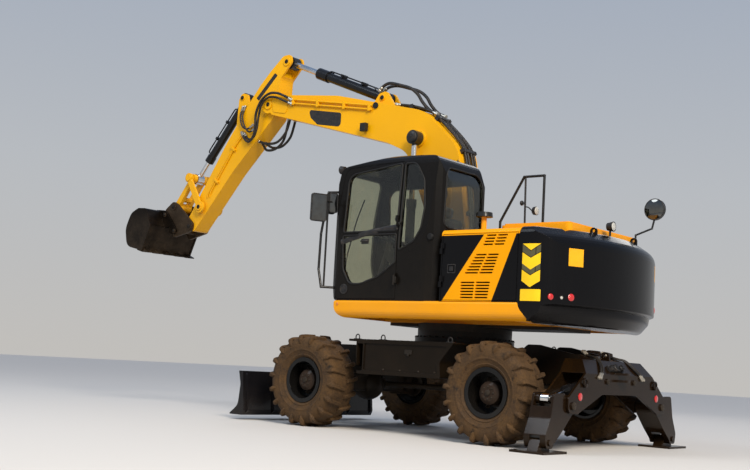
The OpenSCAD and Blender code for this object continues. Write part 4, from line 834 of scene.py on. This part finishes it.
def make_tip_hoses():
    # From the boom's tip over to the dipper, on the side that the photo shows
    crossing_hose("hose_tip_a", [
        (2.93, .212, 4.31), (3.05, .24, 4.375), (3.2, .255, 4.43), (3.36, .255, 4.43), (3.51, .245, 4.34),
        (3.6, .23, 4.18), (3.615, .215, 4.02), (3.65, .2, 3.88), (3.75, .19, 3.8), (3.87, .165, 3.86),
        (3.95, .136, 3.95)], .018, "boom", "dipper", (3.3, 4.47), (3.62, 4.1))
    crossing_hose("hose_tip_b", [
        (2.93, .212, 4.255), (3.07, .232, 4.315), (3.22, .24, 4.375), (3.37, .24, 4.385), (3.5, .23, 4.3),
        (3.56, .215, 4.13), (3.59, .205, 3.97), (3.66, .19, 3.86), (3.77, .175, 3.84), (3.9, .136, 3.93)],
        .016, "boom", "dipper", (3.3, 4.41), (3.56, 4.08))
    for k in range(2):
        d = .045 * k
        hose(f"hose_bucket_{k}", [
            (3.93 + d, .136, 4.33), (3.94 + d, .165, 4.2), (3.88 + d, .178, 4.05), (3.78 + d, .17, 3.95 + d),
            (3.7 + d, .136, 4 + d)], .013, "dipper")
    # The large slack loops behind the dipper
    for k, (x, y, z) in enumerate(((0, -.055, 0), (.05, .02, -.045), (-.035, .085, .03))):
        crossing_hose(f"hose_loop_{k}", [
            (3.09 + x, y, 4.13), (3.12 + x, y, 4), (3.18 + x, y, 3.85 + z), (3.32 + x, y, 3.745 + z),
            (3.49 + x, y, 3.735 + z), (3.62, y, 3.79 + z * .5), (3.68, y * .9, 3.84)],
            .018, "boom", "dipper", (3.2, 3.84), (3.58, 3.78))
    for k, (s, _) in enumerate(SIDES):
        hose(f"hose_dipper_base_{k}", [
            (1.5, s * .034, 4.325), (1.42, s * .05, 4.375), (1.3, s * .075, 4.385), (1.12, s * .09, 4.335),
            (.95, s * .095, 4.275), (.83, s * .095, 4.185), (.75, s * .09, 4.075), (.64, s * .085, 3.965),
            (.52, s * .085, 3.895)], .021, "boom")


def make_back_hoses():
    """Four hoses up the boom's back from the house, under their clamps."""
    boom = skin_of("boom")
    for k in range(4):
        y, rise = -.096 + .064 * k, .03 + .007 * (k % 2)
        points = [(-.3, y * 1.5, 1.52), (-.335, y * 1.4, 1.68), (-.33, y * 1.3, 1.86), (-.25, y * 1.15, 2.06)]
        hits = [behind(boom, y, z) for z in (2.22, 2.5, 2.8, 3.05, 3.25, 3.42, 3.58)]
        hits += [over(boom, x, y) for x in (.42, .6, .8, 1)]
        points += [tuple(bare(hit + normal * rise)) for hit, normal in hits]
        points.append((1.14, y * 1.2, 4.075))
        crossing_hose(f"hose_boom_{k}", points, .017, "house", "boom", (-.33, 1.8), (-.24, 2.3))
    outline = ((-.025, -.004), (.025, -.004), (.025, .05), (.018, .058), (-.018, .058), (-.025, .05))
    with piece("hose_clamps", "boom", "black_plain") as bm:
        hits = [behind(boom, 0, z) for z in (2.62, 3.12)] + [over(boom, x, 0) for x in (.1, .5, .9)]
        for hit, normal in hits:
            strip(bm, hit - Y * .135, normal.cross(Y), normal, outline, Y * .27)
            for y in (-.12, .12):
                bolt(bm, hit + normal * .058 + Y * y, normal, .007, .008)


def make_pipes():
    """Steel pipes on the dipper's side and along two cylinders."""
    for k in range(2):
        d = .05 * k
        with piece(f"dipper_pipe_{k}", "dipper", "arm_amber", 60) as bm:
            rows = ((3.95 - d, .137, 3.95 - d * .2), (4.08 - d * .6, .142, 3.8), (4.36 - d * .8, .142, 3.42),
                    (4.56 - d * .8, .142, 3.14), (4.6 - d, .13, 3.05))
            sweep(bm, curve_through([spot(*p) for p in rows]), .011)
    along, square = vec(.79, 0, .61), vec(-.61, 0, .79)
    with piece("dipper_clamps", "dipper", "arm_amber") as bm:
        for x, z in ((4.11, 3.735), (4.42, 3.285)):
            strip(bm, spot(x, .124, z), along, square, oblong(-.052, .052, -.016, .016), Y * .034)
    for body, base, eye, stop, rise in (("dipper_tube", (1.4, 4.2), DIPPER_EYE, 1.12, .078),
                                        ("bucket_tube", (4.035, 4.485), BUCKET_EYE, 1.02, .066)):
        start = .22
        d = vec(eye[0] - base[0], 0, eye[1] - base[1]).normalized()
        up = vec(-d.z, 0, d.x)
        rows = ((start, -.022), (start + .03, .006), (start + .2, .008),
                (stop - .2, .008), (stop - .03, .006), (stop, -.022))
        with piece(body + "_pipes", body, "barrel", 60) as bm:
            for y in (-.034, .034):
                path = [spot(base[0], y, base[1]) + d * a + up * (rise + b) for a, b in rows]
                sweep(bm, curve_through(path), .01)
            for a in (start + .25, stop - .25):
                c = spot(base[0], -.052, base[1]) + d * a + up * (rise - .016)
                strip(bm, c, d, up, oblong(-.018, .018, 0, .04), Y * .104)


def make_low_hoses():
    """Hoses of the stabilisers, the blade, the boom cylinders and the brakes."""
    plate = skin_of("stab_frame")
    for s, tag in SIDES:
        for k in range(2):
            d = .04 * k
            path = [bare(over(plate, x, s * (y + d))[0]) + Z * .014
                    for x, y in ((-1.78, .22), (-1.87, .25), (-1.94, .29))]
            path += [bare(behind(plate, s * (y + d), z)[0]) + vec(-.013, 0, .008)
                     for y, z in ((.335, .885), (.4, .82), (.46, .76))]
            hose(f"hose_stab_{tag}_{k}", [path[0] + vec(.05, -s * .02, .028)] + path, .011, "chassis")
        crossing_hose(f"hose_blade_{tag}", [
            (1.84, s * .21, .9), (1.92, s * .215, .925), (1.985, s * .2, .87), (1.985, s * .15, .77)],
            .01, "chassis", "blade_tubes", (1.88, .92), (1.985, .83))
        crossing_hose(f"hose_lift_{tag}", [
            (.4, s * .325, 1.53), (.43, s * .345, 1.64), (.5, s * .352, 1.74), (.6, s * .345, 1.75)],
            .014, "house", "boom_tubes", (.42, 1.6), (.54, 1.74))
        hose(f"hose_brake_{tag}", [
            (-1.02, s * .46, .66), (-.96, s * .52, .72), (-.84, s * .53, .78), (-.72, s * .44, .82),
            (-.64, s * .34, .8)], .009, "chassis")


# Bolts, pins and wheels
NUTS, NUT_CIRCLE = 10, .178
HUB_BOLTS, HUB_CIRCLE = 8, .066
VALVE_CIRCLE, VALVE_TURN = .15, .31
RING_BOLTS, RING_CIRCLE, RING_TOP = 40, .58, 1.12


def make_bolts():
    for tag, x, s in WHEELS:
        out = Y * s
        hub = spot(x, s * RIM_FACE_Y, AXLE_Z)
        with piece(f"wheel_{tag}_nuts", "wheel_" + tag, "iron") as bm:
            for a in turns(NUTS, .5):
                p = hub + (X * math.cos(a) + Z * math.sin(a)) * NUT_CIRCLE
                bolt(bm, p, out, .016, .022)
                lathe(bm, [(.009, .018), (.009, .036), (.007, .039), (0, .039)], p, out, 12)
            for p in ring(vec(x, AXLE_Z), vec(HUB_CIRCLE, 0), vec(0, HUB_CIRCLE), HUB_BOLTS):
                bolt(bm, beside(skin_of("rim_" + tag), *p, s), out, .008, .01)
            lathe(bm, [(.032, -.002), (.032, .01), (.024, .016), (0, .017)], hub + out * .172, out)
            valve = ((.01, 0), (.01, .012), (.0045, .014), (.0045, .05), (.007, .052), (.007, .068), (0, .07))
            lathe(bm, valve, hub + (X * math.cos(VALVE_TURN) + Z * math.sin(VALVE_TURN)) * VALVE_CIRCLE,
                  (.25, s, .08), 12)
    with piece("chassis_bolts", "chassis", "iron") as bm:
        for p in ring(spot(0, 0, RING_TOP), X * RING_CIRCLE, Y * RING_CIRCLE, RING_BOLTS):
            bolt(bm, p, Z, .01, .018)
        for s, _ in SIDES:
            for y, z, r in ((1, .465, .04), (.3, .725, .03)):
                hit = behind(skin_of("stab_frame"), s * y, z)[0]
                lathe(bm, [(r, -.002), (r, .006), (r * .8, .01), (0, .011)], hit, -X)
                for a in turns(3):
                    c = hit + vec(-.009, r * .55 * math.cos(a + .5), r * .55 * math.sin(a + .5))
                    bolt(bm, c, -X, .005, .006)
    # Keeper plates on the arm's pins
    for name, node, rows in (("boom_pins", "boom", ((3.4, 4.3), (1.4, 4.2))),
                             ("dipper_pins", "dipper", (DIPPER_EYE, (4.035, 4.485))),
                             ("tower_pins", "boom_tower", ((0, 1.8),)),
                             ("rocker_pins", "rocker", ((4.7, 2.91),)),
                             ("hitch_pins", "hitch", ((4.92, 2.635), (5.3, 2.94)))):
        with piece(name, BODY_OF[node], "iron") as bm:
            for x, z in rows:
                for s, _ in SIDES:
                    hit = beside(skin_of(node), x, z, s)
                    lathe(bm, [(.03, -.002), (.03, .006), (.024, .009), (0, .009)], hit, Y * s)
                    lathe(bm, [(.007, .006), (.007, .014), (.004, .018), (0, .018)], hit, Y * s, 10)
    with piece("boom_rod_caps", BODY_OF["boom_rods"], "black_plain") as bm:
        for s, _ in SIDES:
            hit = beside(skin_of("boom_rods"), *BOOM_EYE, s)
            lathe(bm, [(.074, -.002), (.074, .012), (.06, .024), (.03, .028), (0, .028)], hit, Y * s, 32)
            bolt(bm, hit + Y * s * .027, Y * s, .01, .01)
    with piece("hook_pins", BODY_OF["hitch"], "iron") as bm:
        for s, _ in SIDES:
            for x, z in HOOKS:
                lathe(bm, [(.02, -.002), (.02, .008), (.012, .014), (0, .014)],
                      beside(skin_of("hitch"), x, z, s), Y * s, 20)


# Lamps and mirrors
def make_lamps():
    for s, tag in SIDES:
        for k, (angle, z, r, look) in enumerate((
                (148.1, 1.551, .032, "red_lens"), (151.4, 1.551, .024, "clear_lens"),
                (154.3, 1.56, .0375, "red_lens"))):
            a = math.radians(angle)
            out = vec(math.cos(a), s * math.sin(a), 0)
            hit = landing(skin_of("lamps"), spot(0, 0, z) + out * OUTSIDE, -out)[0]
            with piece(f"tail_lens_{tag}_{k}", "house", look) as bm:
                lathe(bm, [(r, -.003), (r, .001), (r * .85, .005), (r * .5, .008), (0, .009)], hit, out, 28)
    for k, (centre, axis, r) in enumerate((
            (spot(1.145, .485, 3.06), X, .041), (spot(1.145, 1.096, 3.06), X, .041),
            (spot(-1.97, .1, 2.4), -X, .046))):
        with piece(f"work_lens_{k}", "house", "clear_lens") as bm:
            lathe(bm, [(r, -.004), (r, .002), (r * .9, .006), (r * .6, .009), (0, .01)], centre, axis, 32)
        with piece(f"work_bezel_{k}", "house", "black_plain", 60) as bm:
            axis, u, v = across(axis)
            loop_sweep(bm, ring(centre - axis * .001, u * (r + .005), v * (r + .005), 36), .005)
    with piece("boom_lamp_lens", "boom", "clear_lens") as bm:
        strip(bm, spot(1.606, 0, 0), Y, Z, rounded(oblong(.222, .268, 3.757, 3.838), r=.012), X * .009)
    with piece("front_markers", "house", "orange_lens") as bm:
        for s, _ in SIDES:
            hit = ahead_of(skin_of("deck"), s * 1.13, 1.42)[0]
            slab(bm, hit + vec(-.01, -.05, -.022), hit + vec(.014, .05, .022), .006)
            hit, normal = landing(skin_of("deck"), *side_cast(s)((.955, 1.447)))
            lathe(bm, [(.018, -.004), (.018, .004), (.014, .008), (0, .009)], hit, normal, 20)

    rails = skin_of("rails")
    a = math.radians(155)
    n, u = vec(math.cos(a), math.sin(a), 0), vec(-math.sin(a), math.cos(a), 0)
    for name, centre, w, h in (("cab_mirror", spot(1.15, 1.45, 2.56), .088, .152),
                               ("small_mirror", spot(1.195, 1.2, 2.64), .048, .11)):
        hit = landing(rails, centre + n * .4, -n)[0]
        loop = rounded(oblong(-w, w, -h, h), r=.02)
        with piece(name + "_face", "house", "mirror") as bm:
            rows = [[hit + n * (.001 + .004 * (1 - q * q)) + (u * p.x + Z * p.y) * q for p in loop]
                    for q in (1, .75, .5, .25)]
            stack(bm, [[p - n * .003 for p in rows[0]]] + rows)
        with piece(name + "_rim", "house", "black_plain", 60) as bm:
            loop_sweep(bm, [hit + u * p.x * 1.05 + Z * p.y * 1.03 for p in resample(loop, .03)], .006)
    centre = landing(rails, spot(-2.05, 1, 2.7), -Y)[0]
    with piece("disc_mirror_face", "house", "mirror") as bm:
        profile = [(.116, -.002), (.116, .002), (.09, .01), (.06, .015), (.03, .018), (0, .019)]
        lathe(bm, profile, centre, Y, 48)
    with piece("disc_mirror_rim", "house", "black_plain", 60) as bm:
        loop_sweep(bm, ring(centre, X * .119, Z * .119, 48), .0055)


# Cab. The glass outlines are rows (x, z, corner radius), those of the rear glass (y, z, radius).
LOW_GLASS = [(.145, 2.235, .02), (.145, 1.925, .03), (.38, 1.765, .4), (.64, 1.685, .3), (.8, 1.69, .09),
             (.9, 1.85, .15), (.925, 2.235, .02)]
TOP_GLASS = [(.145, 2.29, .02), (.925, 2.29, .02), (.915, 2.96, .11), (.145, 3.05, .02)]
QUARTER = [(.085, 2.07, .01), (.085, 3.05, .02), (-.06, 3.045, .12), (-.185, 2.85, .15), (-.225, 2.54, .3),
           (-.195, 2.3, .2), (-.11, 2.16, .08)]
REAR_GLASS = [(.405, 2.32, .07), (1.101, 2.32, .07), (1.086, 2.99, .11), (.42, 2.99, .11)]


def seal_line(rows):
    """Points just outside a glass outline."""
    return outset(resample(rounded(rows, 8), .03), .008)


def make_cab():
    shell = skin_of("cab_shell", "cab_door", "cab_glass", "door_glass")
    for name, rows, body in (("seal_low", LOW_GLASS, "cab_door"), ("seal_top", TOP_GLASS, "cab_door"),
                             ("seal_quarter", QUARTER, "house")):
        hits = [beside(shell, *p) for p in seal_line(rows)]  # some go through a gap to the far side
        with piece(name, body, "rubber_plain", 60) as bm:
            loop_sweep(bm, [hit for hit in hits if hit.y > 1.05], .011)
    with piece("seal_rear", "house", "rubber_plain", 60) as bm:
        loop_sweep(bm, [behind(shell, *p)[0] for p in seal_line(REAR_GLASS)], .011)
    # The rail across the door's waist, its handle, the round vent and the stay's knob
    with piece("door_waist", "cab_door", "black_plain", 50) as bm:
        rows = [(.13, 0, 2.325), (.34, 0, 2.3), (.57, 0, 2.262), (.8, 0, 2.212), (.95, 0, 2.168)]
        path = [beside(shell, p.x, p.z) + Y * .006 for p in curve_through(rows)]
        sweep(bm, path, .032, 14, False, .34, Z)
    with piece("door_handle", "cab_door", "black_plain") as bm:
        c = beside(shell, .6, 2.17)
        slab(bm, c + vec(-.055, -.002, -.03), c + vec(.055, .01, .03), .006)
        rows = ((-.04, .008), (-.03, .028), (.01, .034), (.045, .028), (.05, .008))
        sweep(bm, curve_through([c + vec(x, y, .004) for x, y in rows]), .008)
    with piece("stay_knob", "house", "rubber_plain") as bm:
        profile = [(.03, -.003), (.03, .01), (.016, .014), (.014, .024), (.034, .03), (.036, .036),
                   (.03, .041), (0, .042)]
        lathe(bm, profile, beside(shell, -.34, 2.2), Y)
    with piece("door_round", "cab_door", "black_plain") as bm:
        profile = [(.058, -.004), (.058, .006), (.05, .009), (.048, .004), (.03, .004), (.028, .009),
                   (0, .01)]
        lathe(bm, profile, *landing(shell, *side_cast(1)((.88, 1.62))), 32)
    for z in (1.72, 2.82):
        with piece(f"door_hinge_{int(z * 100)}", "house", "iron") as bm:
            hit = beside(shell, .115, z)
            slab(bm, hit + vec(-.035, -.004, -.035), hit + vec(-.004, .01, .035), .003)
            lathe(bm, [(.011, -.055), (.011, .055)], hit + Y * .006, Z, 16)
    # Wiper, and the aerial's foot
    pane = skin_of("cab_glass")
    path = [ahead_of(pane, .95 - .022 * k, 1.82 + .078 * k)[0] + X * .01 for k in range(13)]
    with piece("wiper", "house", "rubber_plain", 60) as bm:
        sweep(bm, path, .0055)
        sweep(bm, [p + X * .006 for p in path[3:]], .007, 8, False, .6)
        slab(bm, path[0] + vec(-.014, -.035, -.03), path[0] + vec(.012, .035, .03), .006)
    with piece("aerial_foot", "house", "rubber_plain") as bm:
        roof = over(skin_of("cab_shell"), -.18, .56)[0]
        lathe(bm, [(.024, -.004), (.021, .02), (.008, .032), (.003, .045)], roof, Z, 16)


# Chair
VOXEL, PRESSURE, SWELL_LIMIT = .009, 4, .008


def seat(p, y=0):
    """A point p = (x, z) in millimetres from the chair's foot, y metres beside the chair's middle."""
    return spot(CHAIR_X + p[0] / 1000, CHAIR_Y + y, CHAIR_Z + p[1] / 1000)


def cushion_form(rows, half):
    """Closed form with eased corners and its sides slightly pulled in, from an outline as in seat."""
    loop = resample(rounded([(CHAIR_X + x / 1000, CHAIR_Z + z / 1000, r / 1000) for x, z, r in rows]), .03)
    mid = vec(sum(p.x for p in loop) / len(loop), sum(p.y for p in loop) / len(loop))
    bm = bmesh.new()
    steps = 9
    layers = []
    for k in range(steps + 1):
        shrink = 1 - .12 * abs(2 * k / steps - 1) ** 6
        y = CHAIR_Y - half + 2 * half * k / steps
        layers.append([(mid.x + (p.x - mid.x) * shrink, y, mid.y + (p.y - mid.y) * shrink) for p in loop])
    stack(bm, layers)
    for v in bm.verts:
        v.co.x += SLEW
    return bm


def puff(obj):
    """Swells a cushion with a short cloth simulation, and keeps each point near its start."""
    bpy.context.view_layer.update()
    mod = obj.modifiers.new("remesh", "REMESH")
    mod.mode, mod.voxel_size = "VOXEL", VOXEL
    graph = bpy.context.evaluated_depsgraph_get()
    mesh = bpy.data.meshes.new_from_object(obj.evaluated_get(graph))
    obj.modifiers.clear()
    mesh.materials.clear()
    mesh.materials.append(obj.data.materials[0])
    obj.data = mesh
    start = [v.co.copy() for v in mesh.vertices]
    cloth = obj.modifiers.new("cloth", "CLOTH")
    cloth.settings.use_pressure = True
    cloth.settings.uniform_pressure_force = PRESSURE
    cloth.settings.effector_weights.gravity = 0
    cloth.settings.tension_stiffness = 15
    cloth.point_cache.frame_start, cloth.point_cache.frame_end = 1, 16
    scene = bpy.context.scene
    for f in range(1, 15):
        scene.frame_set(f)
    graph = bpy.context.evaluated_depsgraph_get()
    done = [v.co.copy() for v in obj.evaluated_get(graph).data.vertices]
    obj.modifiers.clear()
    scene.frame_set(1)
    for v, a, b in zip(mesh.vertices, start, done):
        move = b - a
        v.co = a + (move if move.length < SWELL_LIMIT else move * (SWELL_LIMIT / move.length))
    for p in mesh.polygons:
        p.use_smooth = True


def make_chair():
    for name, rows, half, fill in (
            ("seat_cushion", [
                (-185, 345, 35), (248, 345, 35), (248, 438, 38), (-125, 420, 35), (-150, 380, 20)], .235, .6),
            ("seat_back", [(-138, 455, 30), (-215, 910, 40), (-310, 910, 40), (-212, 430, 30)], .225, .6),
            ("head_rest", [(-296, 938, 25), (-236, 938, 25), (-232, 1062, 30), (-300, 1062, 30)], .12, .7)):
        obj = add_piece(name, cushion_form(rows, half), None, "chair_cloth", 60)
        puff(obj)
        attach(obj, "house")
    # Suspension foot with its bellows, the pan, the back's shell, the arm consoles and the levers
    bm = bmesh.new()
    profile = [(.2, 0), (.2, .035), (.175, .04)]
    for k in range(5):
        profile += [(.175, .05 + .045 * k), (.192, .07 + .045 * k)]
    profile += [(.175, .285), (.205, .29), (.205, .325)]
    lathe(bm, profile, seat((-10, 0)), Z, 40)
    for v in bm.verts:
        v.co.y = CHAIR_Y + (v.co.y - CHAIR_Y) * .88
    pan = [(-235, 325, 30), (262, 325, 30), (262, 372, 20), (-150, 372, 20), (-235, 372, 20)]
    prism(bm, [seat(p, -.245) for p in rounded(pan)], Y * .49)
    shell = [(-205, 345, 20), (-245, 345, 30), (-345, 925, 40), (-300, 925, 30), (-262, 780, 60),
             (-190, 400, 20)]
    prism(bm, [seat(p, -.235) for p in rounded(shell)], Y * .47)
    console = [(-150, 330, 30), (200, 330, 60), (330, 470, 40), (330, 535, 35), (-60, 535, 40),
               (-90, 440, 40)]
    for s, _ in SIDES:
        sweep(bm, [seat((-276, 890), s * .06), seat((-266, 980), s * .06)], .008)
        prism(bm, [seat(p, s * .252) for p in rounded(console)], Y * s * .066)
        prism(bm, [seat(p, s * .25) for p in rounded(oblong(-150, 150, 535, 562), r=12)], Y * s * .07)
        base, lean = seat((275, 530), s * .285), vec(.18, 0, 1)
        boot = [(.036, 0), (.034, .02), (.024, .035), (.026, .045), (.016, .062), (.012, .085), (.01, .115)]
        grip = [(.012, -.004), (.02, .01), (.026, .035), (.027, .058), (.021, .078), (.01, .086), (0, .088)]
        lathe(bm, boot, base, lean, 20)
        lathe(bm, grip, base + lean.normalized() * .105, (.25, -s * .1, 1), 20)
    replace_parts(add_piece("chair_frame", bm, "house", "grey_plastic"), "operator_chair")
    with piece("seat_belt", "house", "belt", 60) as bm:
        rows = ((-.25, -.2, 2.4), (-.12, -.12, 2.3), (-.015, 0, 2.14), (.045, .16, 2.035), (.03, .245, 1.99))
        path = curve_through([spot(x, CHAIR_Y + y, z) for x, y, z in rows])
        sweep(bm, path, .023, 8, False, .09, (0, 1, .2))
    with piece("cab_screen", "house", "mirror") as bm:
        hit = landing(skin_of("cab_controls"), spot(.4, .5, 2.255), X)[0]
        slab(bm, hit + vec(-.004, -.07, -.075), hit + vec(.002, .07, .075), .003)


# Decals and small trim
TREAD_COLUMNS, TREAD_ROWS, LOCKER_TOP = 26, 5, 1.0495


def chevron(x, half, top, dip, low, low_dip):
    return [(x - half, top), (x, dip), (x + half, top), (x + half, low), (x, low_dip), (x - half, low)]


def round_cast(s):
    """Rays towards the slew axis, for points (degrees from ahead, z)."""
    def cast(p):
        out = vec(math.cos(math.radians(p.x)), s * math.sin(math.radians(p.x)), 0)
        return spot(0, 0, p.y) + out * OUTSIDE, -out
    return cast


def make_decals():
    weight = skin_of("counterweight")
    x, half = -1.645, .1
    for s, tag in SIDES:
        cast = side_cast(s)

        def sign(name, rows, look, lift=DECAL_LIFT, cast=cast, slices=.03):
            decal(name, rows, weight, cast, "house", look, lift, slices)

        sign("chevron_top_" + tag, [(x - half, 2.09), (x + half, 2.09), (x, 2.02)], "sign_yellow")
        for k in range(2):
            z = -.18 * k
            sign(f"chevron_{tag}_{k}", chevron(x, half, 2 + z, 1.94 + z, 1.885 + z, 1.82 + z), "sign_yellow")
            sign(f"chevron_dark_{tag}_{k}", chevron(x, half, 2.082 + z, 2.012 + z, 2.008 + z, 1.948 + z),
                 "sign_olive", .0009)
        sign("plate_yellow_" + tag, [(*p, .006) for p in oblong(-1.755, -1.535, 1.5, 1.62)], "sign_yellow")
        sign("plate_amber_" + tag, oblong(153.1, 157.9, 1.88, 2.063), "sign_amber", cast=round_cast(s),
             slices=.8)
        decal("boom_panel_" + tag, [
            (2.615, 4.145, .03), (2.02, 4.045, .04), (2.02, 3.855, .05), (2.44, 3.925, .06),
            (2.57, 4.03, .05)], skin_of("boom"), cast, "boom", "sign_black")
        decal("dipper_panel_" + tag, [
            (3.375, 4.765, .01), (3.32, 4.725, .01), (3.665, 4.395, .01), (3.715, 4.44, .01)],
            skin_of("dipper"), cast, "dipper", "sign_black")


def make_trim():
    locker = skin_of("lockers")
    for s, tag in SIDES:
        out = Y * s
        door = "service_door_" + tag
        with piece("door_catch_" + tag, door, "black_plain") as bm:
            hit = beside(skin_of(door), -.65, 1.84, s)
            loop = resample(rounded(oblong(-.05, .05, -.045, .045), r=.008), .02)
            loop_sweep(bm, [hit + X * p.x + Z * p.y for p in loop], .004, 6)
            strip(bm, hit - out * .001, X, Z, rounded(oblong(-.025, .025, -.025, .025), r=.01), out * .007)
        # Catch and bolts of the locker, and tread marks on its top
        with piece("locker_catch_" + tag, "chassis", "iron") as bm:
            hit = beside(locker, -.05, .925, s)
            strip(bm, hit - out * .001, X, Z, rounded(oblong(-.05, .05, -.025, .025), r=.01), out * .01)
            slab(bm, hit + vec(-.012, 0, -.045), hit + vec(.012, s * .018, -.018), .003)
            for x in (-.42, -.2, .06, .3):
                bolt(bm, beside(locker, x, .715, s), out, .008, .008)
        with piece("tread_" + tag, "chassis", "chassis") as bm:
            for i in range(TREAD_COLUMNS):
                for j in range(TREAD_ROWS):
                    c = spot(-.54 + .048 * i, s * (.9 + .05 * j), LOCKER_TOP)
                    d = vec(.014, .014 if (i + j) % 2 else -.014, 0)
                    n = vec(-d.y, d.x, 0) * .35
                    prism(bm, [c - d, c + n, c + d, c - n], Z * .0035)
    # Stabiliser frame: reflectors, lashing eyes and trailer sockets
    with piece("rear_reflectors", "chassis", "red_lens") as bm:
        for s, _ in SIDES:
            lathe(bm, [(.04, -.002), (.04, .005), (.034, .009), (0, .01)], spot(-2.06, s * .86, .56), -X)
    with piece("rear_eyes", "chassis", "stab") as bm:
        for s, _ in SIDES:
            y = s * .79
            loop_sweep(bm, ring(spot(-2.078, y, .71), Y * .036, Z * .036, 20), .011)
            slab(bm, spot(-2.092, y - .018, .655), spot(-2.058, y + .018, .695), .003)
    with piece("trailer_sockets", "chassis", "black_plain") as bm:
        face, normal = behind(skin_of("stab_frame"), .07, .855)
        box = rounded(oblong(-.16, .16, -.04, .03), r=.012)
        strip(bm, face - normal * .004, Y, normal.cross(Y), box, normal * .028)
        for y, r in ((-.1, .034), (.02, .042), (.11, .03)):
            p = face + Y * y + normal * .02
            lathe(bm, [(r, 0), (r, .026), (r * .86, .032), (r * .8, .024), (0, .022)], p, normal, 28)
            lathe(bm, [(.007, 0), (.007, r * .9)], p + normal * .03 - Y * r * .45, Y, 10)
    # Inner bar and small lamp of the right handrail
    with piece("handrail_bar", "house", "black_plain", 60) as bm:
        sweep(bm, [spot(-.052, BAR_Y, 3.25), spot(-.07, BAR_Y, 2.262)], .013, 12)
        bracket = ((-.062, 2.88), (-.11, 2.87), (-.16, 2.83), (-.2, 2.82))
        sweep(bm, curve_through([spot(x, BAR_Y, z) for x, z in bracket]), .008)
        knob = [(.012, -.02), (.03, -.012), (.034, 0), (.03, .014), (.012, .022)]
        lathe(bm, knob, spot(-.01, BAR_Y, 2.93), X, 20)
        sweep(bm, [spot(-.058, BAR_Y, 2.93), spot(-.02, BAR_Y, 2.93)], .008)
        lathe(bm, [(.03, .03), (.052, .012), (.056, -.02), (.056, -.03)], spot(-.205, BAR_Y, 2.82), X, 28)
    with piece("handrail_lens", "house", "clear_lens") as bm:
        profile = [(.051, .002), (.051, -.004), (.04, -.012), (.02, -.016), (0, -.017)]
        lathe(bm, profile, spot(-.234, BAR_Y, 2.82), X, 28)
    with piece("lashing_rings", "chassis", "black_plain", 60) as bm:
        for s, _ in SIDES:
            for x in (-.58, .36, .74):
                loop_sweep(bm, ring(spot(x, s * 1.09, 1.072), X * .028, Z * .034, 16), .007)
                slab(bm, spot(x - .045, s * 1.072, 1.047), spot(x + .045, s * 1.108, 1.058), .003)
    with piece("hood_handles", "hood", "black_plain", 60) as bm:
        for y in (-.3, .3):
            rows = ((-.06, 2.376), (-.055, 2.402), (0, 2.412), (.055, 2.402), (.06, 2.376))
            sweep(bm, curve_through([spot(-1.6, y + d, z) for d, z in rows]), .007)


make_camera()
make_stage()
make_tyres()
make_tip_hoses()
make_back_hoses()
make_pipes()
make_low_hoses()
make_bolts()
make_lamps()
make_cab()
make_chair()
make_decals()
make_trim()
